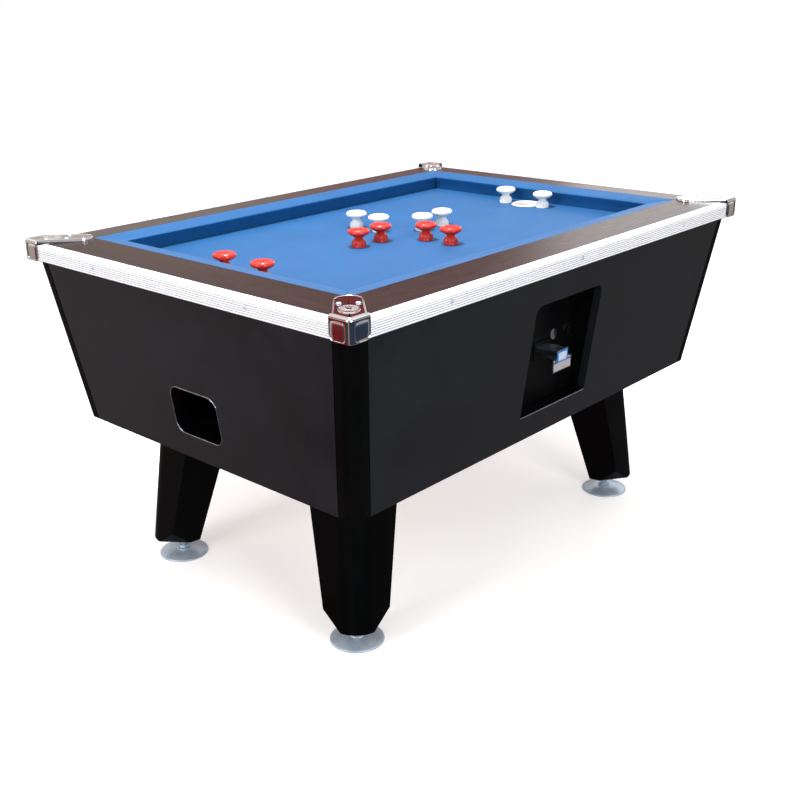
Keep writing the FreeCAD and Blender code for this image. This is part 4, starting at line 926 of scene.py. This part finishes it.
class OBJECT_OT_pool_screws(bpy.types.Operator):
    """Make the round-head screws of the trims and castings"""
    bl_idname = "object.pool_screws"
    bl_label = "Screws"

    HEAD = 5 * MM
    RISE = 2.3 * MM
    RECESS = 0.9 * MM
    BASE_UNDER_TIP = 2.4 * MM
    DOME = ((1.0, 0.0), (0.99, 0.25), (0.9, 0.6), (0.72, 0.85), (0.5, 0.98), (0.42, 1.0), (0.3, 1.0),
            (0.16, 1.0), (0.03, 1.0))

    def head(self, centre, aim):
        """A domed head with a cross recess, standing on a surface."""
        steps = 32
        rings = []
        turn = Vector((0, 0, 1)).rotation_difference(aim)
        for scale, rise in self.DOME:
            ring = []
            for step in range(steps):
                angle = math.tau * step / steps
                recess = scale < 0.45 and abs(math.sin(2 * angle)) < 0.55
                height = rise * self.RISE - (self.RECESS if recess else 0)
                local = Vector((math.cos(angle), math.sin(angle), 0)) * scale * self.HEAD
                ring.append(centre + turn @ Vector((local.x, local.y, height)))
            rings.append(ring)
        return rings_to_mesh("head", rings, crease=40)

    def execute(self, context):
        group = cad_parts["trim_screws"]
        heads = [self.head(centre, aim) for centre, aim in self.places(group)]
        mesh = join_meshes("screw_heads", heads)
        link("screw_heads", mesh, zinc_steel(), TABLE, ["trim_screws"])
        dress("leg_bolts", zinc_steel())
        dress("bumper_nuts", zinc_steel())
        return {"FINISHED"}

    def places(self, group):
        """Where the heads stand and which way they face, read from the loose solids of the node."""
        work = bmesh.new()
        work.from_mesh(group.data)
        bmesh.ops.remove_doubles(work, verts=work.verts, dist=1e-5)
        seen, found = set(), []
        for start in work.verts:
            if start.index in seen:
                continue
            island, queue = [], [start]
            seen.add(start.index)
            while queue:
                vert = queue.pop()
                island.append(vert.co.copy())
                for edge in vert.link_edges:
                    other = edge.other_vert(vert)
                    if other.index not in seen:
                        seen.add(other.index)
                        queue.append(other)
            low = Vector([min(point[i] for point in island) for i in range(3)])
            high = Vector([max(point[i] for point in island) for i in range(3)])
            middle = (low + high) / 2
            extent = high - low
            axis = max(range(3), key=lambda i: extent[i])
            sign = 1 if axis == 2 or middle[axis] > 0 else -1
            aim = Vector([sign if i == axis else 0 for i in range(3)])
            tip = high[axis] if sign > 0 else low[axis]
            centre = middle.copy()
            centre[axis] = tip - sign * self.BASE_UNDER_TIP
            found.append((centre, aim))
        work.free()
        return found


# ---------------------------------------------------------------- bumpers and goals

class OBJECT_OT_pool_bumpers(bpy.types.Operator):
    """Turn the red and white bumpers: fluted foot, waist and dished cap"""
    bl_idname = "object.pool_bumpers"
    bl_label = "Bumpers"

    PAIRS = ("bumpers_red_left_arm", "bumpers_red_near_arm", "bumpers_red_left_goal",
             "bumpers_white_right_arm", "bumpers_white_far_arm", "bumpers_white_right_goal")
    FLUTES_START = 2 * MM
    FLUTES_END = 18.5 * MM
    FLUTES_BLEND = 3 * MM
    FLUTES_DEPTH = 0.05

    def profile(self):
        """Section of a bumper from its foot to the middle of its dish, in metres."""
        foot, waist = (17, 3), (9.6, 19.5)
        points = [(3, -0.2), (16.2, 0), (17, 0.7), foot]
        for step in range(1, 9):
            t = step / 8
            bulge = 2.6 * math.sin(math.pi * t ** 1.3)
            points.append((foot[0] + (waist[0] - foot[0]) * t + bulge, foot[1] + (waist[1] - foot[1]) * t))
        points += [(10.2, 20.0), (10.3, 21.0), (9.5, 21.6), (9.1, 22.6)]
        for step in range(1, 8):
            t = step / 7
            points.append((9.1 + 15.6 * t, 22.6 + 8.6 * t ** 1.35))
        points += [(25.5, 32.2), (26, 33.8), (26, 35.4), (25.5, 37.4), (24.3, 39.2), (22.7, 40.5),
                   (21.1, 41), (19.6, 40.8), (18.4, 40.1), (15, 39.5), (10, 39.1), (5.5, 39), (5.0, 38.5),
                   (1, 38.4)]
        return [(radius * MM, height * MM) for radius, height in points]

    def execute(self, context):
        colours, flutes = context.scene.table_colours, context.scene.table_sizes.flutes

        def fluted(angle, height):
            """Ripple the foot's flank."""
            above = max(0, min(1, (height - self.FLUTES_START) / self.FLUTES_BLEND))
            below = max(0, min(1, (self.FLUTES_END - height) / self.FLUTES_BLEND))
            return 1 + self.FLUTES_DEPTH * above * below * math.cos(angle * flutes)

        for pair in self.PAIRS:
            low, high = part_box(pair)
            along_x = high.x - low.x > high.y - low.y
            middle = (low + high) / 2
            cap = min(high.x - low.x, high.y - low.y) / 2
            reach = (high.x - low.x if along_x else high.y - low.y) / 2 - cap
            tone = "red" if "red" in pair else "white"
            material = gloss_plastic(tone + "_plastic", getattr(colours, tone))
            meshes = []
            for sign in (-1, 1):
                x = middle.x + sign * reach * along_x
                y = middle.y + sign * reach * (not along_x)
                rings = turned(self.profile(), Vector((x, y, BED_TOP)), 80, fluted)
                meshes.append(rings_to_mesh("bumper", rings, crease=40))
            mesh = join_meshes("turned_" + pair, meshes)
            link("turned_" + pair, mesh, material, TABLE, [pair])
        return {"FINISHED"}


class OBJECT_OT_pool_goals(bpy.types.Operator):
    """Turn the white rings that line the goal holes"""
    bl_idname = "object.pool_goals"
    bl_label = "Goal Rings"

    RING_WIDTH = 8 * MM
    SLEEVE_WALL = 2.6 * MM
    ROLL = 4 * MM

    def execute(self, context):
        colours = context.scene.table_colours
        for end in ("left", "right"):
            node = "goal_liner_" + end
            low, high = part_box(node)
            outer = (high.x - low.x) / 2
            centre = Vector(((low.x + high.x) / 2, 0, 0))
            rings = turned(self.section(outer, low.z, high.z), centre, 96)
            mesh = rings_to_mesh("goal_ring_" + end, rings + rings[:1], cap=False, crease=40)
            material = gloss_plastic("white_plastic", colours.white)
            link("goal_ring_" + end, mesh, material, TABLE, [node])
        return {"FINISHED"}

    def section(self, outer, low, high):
        """Closed section: sleeve below, rolled ring above."""
        inner = outer - self.RING_WIDTH
        sleeve = inner + self.SLEEVE_WALL
        top = [(x + inner + self.ROLL, z * 0.75 + BED_TOP) for x, z in arc(0, 0, self.ROLL, 180, 0, 14)]
        return [(inner, low), *top, (sleeve, BED_TOP), (sleeve, low)]


# ---------------------------------------------------------------- cabinet, legs and feet

class OBJECT_OT_pool_cabinet(bpy.types.Operator):
    """Give the cabinet's panels, posts and floor their finishes"""
    bl_idname = "object.pool_cabinet"
    bl_label = "Cabinet"

    PANEL_SHINE = 0.3
    LEG_SHINE = 0.05

    def execute(self, context):
        colours = context.scene.table_colours
        for side in SIDES:
            dress("panel_" + side, black_laminate("black_laminate", colours.cabinet, self.PANEL_SHINE))
        for corner in CORNERS:
            for node in ("corner_post_", "leg_"):
                dress(node + corner, black_laminate("satin_black", colours.legs, self.LEG_SHINE))
        dress("cabinet_floor", bare_wood())
        return {"FINISHED"}


class OBJECT_OT_pool_feet(bpy.types.Operator):
    """Turn the levelling feet: domed disc, hub, lock nut and threaded stem"""
    bl_idname = "object.pool_feet"
    bl_label = "Levelling Feet"

    HUB_TOP = 14 * MM
    NUT_RADIUS = 13 * MM
    THREAD_PITCH = 2 * MM

    def disc(self, centre, radius, stem_top):
        """The disc and the threaded stem, turned in one piece."""
        profile = [(radius - 6 * MM, 0), (radius - 1 * MM, 0.2 * MM), (radius, 1.2 * MM),
                   (radius, 3.2 * MM), (radius - 0.8 * MM, 4.3 * MM)]
        for step in range(1, 11):
            t = step / 10
            dome = 4.4 * MM + 7.2 * MM * math.sin(t * math.pi / 2)
            profile.append((radius - 1 * MM - (radius - 19 * MM) * t, dome))
        profile += [(17 * MM, 13.2 * MM), (15.4 * MM, self.HUB_TOP), (8 * MM, self.HUB_TOP)]
        height, pitch = self.HUB_TOP, self.THREAD_PITCH
        while height + pitch < stem_top - 2 * MM:
            profile += [(7.1 * MM, height + pitch * 0.3), (7.95 * MM, height + pitch * 0.8)]
            height += pitch
        profile += [(7 * MM, stem_top - 1 * MM), (5.5 * MM, stem_top)]
        return rings_to_mesh("disc", turned(profile, centre, 72), crease=40)

    def nut(self, centre, base):
        """Hexagonal lock nut above the disc."""
        rings = []
        for scale, height in ((0.93, 0), (1, 0.8 * MM), (1, 6.6 * MM), (0.93, 7.4 * MM)):
            reach = self.NUT_RADIUS * scale
            rings.append([centre + Vector((math.cos(angle) * reach, math.sin(angle) * reach, base + height))
                          for angle in [math.tau * corner / 6 for corner in range(6)]])
        return rings_to_mesh("nut", rings, crease=20)

    def execute(self, context):
        for corner in CORNERS:
            node = "leveller_" + corner
            low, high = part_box(node)
            centre = Vector(((low.x + high.x) / 2, (low.y + high.y) / 2, 0))
            radius = (high.x - low.x) / 2
            parts = [self.disc(centre, radius, high.z), self.nut(centre, self.HUB_TOP)]
            mesh = join_meshes("foot_" + corner, parts)
            link("foot_" + corner, mesh, zinc_steel(), node, [node])
        return {"FINISHED"}


# ---------------------------------------------------------------- ball return and coin side

class OBJECT_OT_pool_ball_return(bpy.types.Operator):
    """Give the runways, trays and release shaft their finishes"""
    bl_idname = "object.pool_ball_return"
    bl_label = "Ball Return"

    LIP_RADIUS = 1.7 * MM
    LIP_INSET = 0.4 * MM
    MOUTH_CORNER = 26 * MM

    def execute(self, context):
        for end in ("left", "right"):
            dress("ball_return_" + end, dull_plastic())
            dress("ball_tray_" + end, black_paint())
            self.lip(end)
        dress("release_shaft", zinc_steel())
        return {"FINISHED"}

    def lip(self, end):
        """Rolled metal edge round the mouth of a ball tray, in the plane of the leaning panel."""
        low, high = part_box("ball_tray_" + end)
        middle = (low.z + high.z) / 2
        half, rise = (high.y - low.y) / 2, (high.z - low.z) / 2
        points = []
        for along, height in rounded_rectangle(half, rise, self.MOUTH_CORNER, 10):
            inward = face_inset(middle + height) + self.LIP_INSET
            points.append(side_point(end, along, inward, middle + height))
        mesh = rope("tray_lip_" + end, points, self.LIP_RADIUS, True)
        link("tray_lip_" + end, mesh, worn_edge(), TABLE, [])


class OBJECT_OT_pool_coin_side(bpy.types.Operator):
    """Give the coin recess, mechanism and locks their finishes"""
    bl_idname = "object.pool_coin_side"
    bl_label = "Coin Mechanism"

    OPENING_HALF = 126.5 * MM
    FLOOR_ABOVE_BOX = 15 * MM
    SILL_RADIUS = 1.6 * MM
    SILL_UNDER_FLOOR = 1.4 * MM
    SILL_INSET = 0.6 * MM
    PLATE_THICKNESS = 3 * MM
    LABEL_HALF, LABEL_RISE, LABEL_DOWN = 19 * MM, 12.5 * MM, 2.5 * MM
    FACE_HALF, FACE_RISE, FACE_UP = 32.5 * MM, 9 * MM, 2 * MM
    CARD_CORNER = 2.5 * MM
    FRAME_STEPS = ((0, 0), (0, 1.2), (0.6, 1.7), (2.6, 1.7), (3.0, 1.3), (3.0, 0.5))
    CARD_STEPS = ((2.8, 0), (2.8, 0.6))
    FACE_STEPS = ((0, 0), (0, 0.4))

    def execute(self, context):
        for node in ("coin_recess", "coin_plate", "coin_chute", "cash_box"):
            dress(node, black_paint())
        dress("coin_slide", satin_nickel())
        for node in ("lock_barrels", "lock_plug_left", "lock_plug_right"):
            dress(node, chrome())
        self.sill()
        self.label()
        return {"FINISHED"}

    def sill(self):
        """Rolled front edge of the recess's metal floor."""
        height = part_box("coin_recess")[0].z + self.FLOOR_ABOVE_BOX - self.SILL_UNDER_FLOOR
        inward = face_inset(height) + self.SILL_INSET
        points = [side_point("coin", self.OPENING_HALF * t, inward, height) for t in (-1, -0.5, 0, 0.5, 1)]
        mesh = rope("recess_sill", points, self.SILL_RADIUS, False)
        link("recess_sill", mesh, worn_edge(), TABLE, [])

    def label(self):
        """Blank card in a blue frame, on the tab of the coin slide's front plate."""
        low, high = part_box("coin_slide")
        face = low.y + self.PLATE_THICKNESS
        middle = high.z - self.LABEL_DOWN - self.LABEL_RISE
        face_middle = low.z + self.FACE_UP + self.FACE_RISE
        blue = gloss_plastic("label_blue", bpy.context.scene.table_colours.label)
        label = (self.LABEL_HALF, self.LABEL_RISE, middle)
        front = (self.FACE_HALF, self.FACE_RISE, face_middle)
        for name, (half, rise, height), steps, material in (
                ("label_frame", label, self.FRAME_STEPS, blue),
                ("label_card", label, self.CARD_STEPS, label_card()),
                ("slide_face", front, self.FACE_STEPS, brushed_face())):
            rings = [self.card_ring(half - out * MM, rise - out * MM, face - proud * MM, height)
                     for out, proud in steps]
            mesh = rings_to_mesh(name, rings, cap=name != "label_frame", crease=40)
            link(name, mesh, material, "coin_slide", [])

    def card_ring(self, half, rise, y, middle):
        """One rounded outline of the label, upright and facing the coin side."""
        outline = rounded_rectangle(half, rise, self.CARD_CORNER, 5)
        return [Vector((x, y, middle + z)) for x, z in outline]


# ---------------------------------------------------------------- stage

class SCENE_OT_pool_stage(bpy.types.Operator):
    """Lay a plain pale floor, hang soft studio lights and place the camera"""
    bl_idname = "scene.pool_stage"
    bl_label = "Stage"

    FLOOR_REACH = 60
    CAMERA_PLACE = (-1.9647, -1.7433, 1.3285)
    CAMERA_TURN = (69.340, 1.043, -47.315)
    LENS = 49.22
    SHIFT = 0.0288
    AIM = (0, 0, 0.6)
    LAMPS = (("overhead", (-0.2, 0.1, 2.9), 0.5, 95), ("front", (-1.2, -3.8, 1.9), 1.5, 65),
             ("side", (-4.0, 0.2, 1.9), 1.5, 65), ("window", (4.6, 1.2, 2.2), 2.4, 30))
    ROOM_LIGHT = 1.0
    LIGHT_BY_HEIGHT = ((0.0, (0, 0, 0)), (0.40, (0, 0, 0)), (0.44, (0.10, 0.10, 0.10)),
                       (0.49, (0.0, 0.0, 0.0)), (0.505, (0.60, 0.57, 0.54)), (0.57, (0.48, 0.45, 0.42)),
                       (0.61, (0.02, 0.02, 0.02)), (0.695, (0.03, 0.03, 0.03)), (0.73, (0.8, 0.8, 0.8)),
                       (1.0, (0.9, 0.9, 0.9)))
    WALLS_BY_SIDE = ((0.0, (0.03, 0.045, 0.075)), (0.22, (0.03, 0.045, 0.075)), (0.28, (0.36, 0.31, 0.27)),
                     (0.36, (0.36, 0.31, 0.27)), (0.42, (0.06, 0.05, 0.05)), (0.72, (0.07, 0.05, 0.05)),
                     (0.77, (0.16, 0.014, 0.016)), (0.855, (0.16, 0.014, 0.016)),
                     (0.89, (0.40, 0.34, 0.30)), (1.0, (0.42, 0.37, 0.33)))

    def light(self, name, place, size, power):
        """A square soft light aimed at the table's middle."""
        data = bpy.data.lights.new(name, "AREA")
        data.shape = "SQUARE"
        data.size = size
        data.energy = power
        lamp = bpy.data.objects.new(name, data)
        lamp.location = place
        lamp.rotation_euler = (Vector(self.AIM) - Vector(place)).to_track_quat("-Z", "Y").to_euler()
        bpy.context.scene.collection.objects.link(lamp)

    def blend(self, tree, source, stops):
        """A colour that changes with one direction, which runs from -1 to 1."""
        spread = tree.nodes.new("ShaderNodeMapRange")
        spread.inputs["From Min"].default_value = -1
        spread.inputs["From Max"].default_value = 1
        tree.links.new(source, spread.inputs["Value"])
        ramp = tree.nodes.new("ShaderNodeValToRGB")
        fill_ramp(ramp, stops)
        tree.links.new(spread.outputs["Result"], ramp.inputs["Fac"])
        return ramp.outputs["Color"]

    def sky(self, scene):
        """A pale backdrop for the camera, and soft light from above with a darker room below."""
        world = bpy.data.worlds.new("studio")
        world.use_nodes = True
        tree = world.node_tree
        tree.nodes.clear()
        where = tree.nodes.new("ShaderNodeTexCoord")
        split = tree.nodes.new("ShaderNodeSeparateXYZ")
        tree.links.new(where.outputs["Generated"], split.inputs["Vector"])
        glow = self.blend(tree, split.outputs["Z"], self.LIGHT_BY_HEIGHT)
        walls = self.blend(tree, split.outputs["Y"], self.WALLS_BY_SIDE)
        both = tree.nodes.new("ShaderNodeVectorMath")
        both.operation = "ADD"
        tree.links.new(glow, both.inputs[0])
        tree.links.new(walls, both.inputs[1])
        room = tree.nodes.new("ShaderNodeBackground")
        room.inputs["Strength"].default_value = self.ROOM_LIGHT
        tree.links.new(both.outputs["Vector"], room.inputs["Color"])
        backdrop = tree.nodes.new("ShaderNodeBackground")
        backdrop.inputs["Color"].default_value = (1, 1, 1, 1)
        path = tree.nodes.new("ShaderNodeLightPath")
        mix = tree.nodes.new("ShaderNodeMixShader")
        tree.links.new(path.outputs["Is Camera Ray"], mix.inputs["Fac"])
        tree.links.new(room.outputs["Background"], mix.inputs[1])
        tree.links.new(backdrop.outputs["Background"], mix.inputs[2])
        output = tree.nodes.new("ShaderNodeOutputWorld")
        tree.links.new(mix.outputs["Shader"], output.inputs["Surface"])
        scene.world = world

    def execute(self, context):
        scene = context.scene
        floor_finish = Finish("pale_floor", (0.93, 0.93, 0.93), 0.8, specular_ior_level=0.0,
                              emission_strength=0.35)
        floor_finish.rough(floor_finish.noise(3, 3), 0.75, 0.85)
        reach = self.FLOOR_REACH
        mesh = bpy.data.meshes.new("floor")
        corners = [(-reach, -reach, 0), (reach, -reach, 0), (reach, reach, 0), (-reach, reach, 0)]
        mesh.from_pydata(corners, [], [(0, 1, 2, 3)])
        mesh.materials.append(floor_finish.material)
        floor = bpy.data.objects.new("floor", mesh)
        scene.collection.objects.link(floor)
        floor.visible_glossy = False
        self.sky(scene)
        for name, place, size, power in self.LAMPS:
            self.light(name, place, size, power)
        data = bpy.data.cameras.new("camera")
        data.lens = self.LENS
        data.shift_x = self.SHIFT
        data.clip_end = 4 * reach
        camera = bpy.data.objects.new("camera", data)
        camera.location = self.CAMERA_PLACE
        camera.rotation_euler = [math.radians(angle) for angle in self.CAMERA_TURN]
        scene.collection.objects.link(camera)
        scene.camera = camera
        scene.view_settings.view_transform = "Standard"
        return {"FINISHED"}


# ---------------------------------------------------------------- panel and registration

STEPS = (OBJECT_OT_pool_bed, OBJECT_OT_pool_cushions, OBJECT_OT_pool_rails, OBJECT_OT_pool_trims,
         OBJECT_OT_pool_castings, OBJECT_OT_pool_screws, OBJECT_OT_pool_bumpers, OBJECT_OT_pool_goals,
         OBJECT_OT_pool_cabinet, OBJECT_OT_pool_feet, OBJECT_OT_pool_ball_return, OBJECT_OT_pool_coin_side,
         SCENE_OT_pool_stage)


class VIEW3D_PT_pool_table(bpy.types.Panel):
    """Sizes, colours and one button for each group of pieces"""
    bl_label = "Bumper Pool Table"
    bl_idname = "VIEW3D_PT_pool_table"
    bl_space_type = "VIEW_3D"
    bl_region_type = "UI"
    bl_category = "Pool Table"

    def draw(self, context):
        layout = self.layout
        for group in (context.scene.table_sizes, context.scene.table_colours):
            box = layout.box()
            for name in group.bl_rna.properties.keys():
                if name not in ("rna_type", "name"):
                    box.prop(group, name)
        for step in STEPS:
            layout.operator(step.bl_idname)


CLASSES = (TableSizes, TableColours, *STEPS, VIEW3D_PT_pool_table)


def register():
    """Register the classes and hang the settings on the scene."""
    for cls in CLASSES:
        bpy.utils.register_class(cls)
    bpy.types.Scene.table_sizes = bpy.props.PointerProperty(type=TableSizes)
    bpy.types.Scene.table_colours = bpy.props.PointerProperty(type=TableColours)


def unregister():
    """Take the settings and classes away again."""
    del bpy.types.Scene.table_colours
    del bpy.types.Scene.table_sizes
    for cls in reversed(CLASSES):
        bpy.utils.unregister_class(cls)


def main():
    """Build the whole table."""
    register()
    for step in STEPS:
        group, name = step.bl_idname.split(".")
        getattr(getattr(bpy.ops, group), name)()


if __name__ == "__main__":
    main()
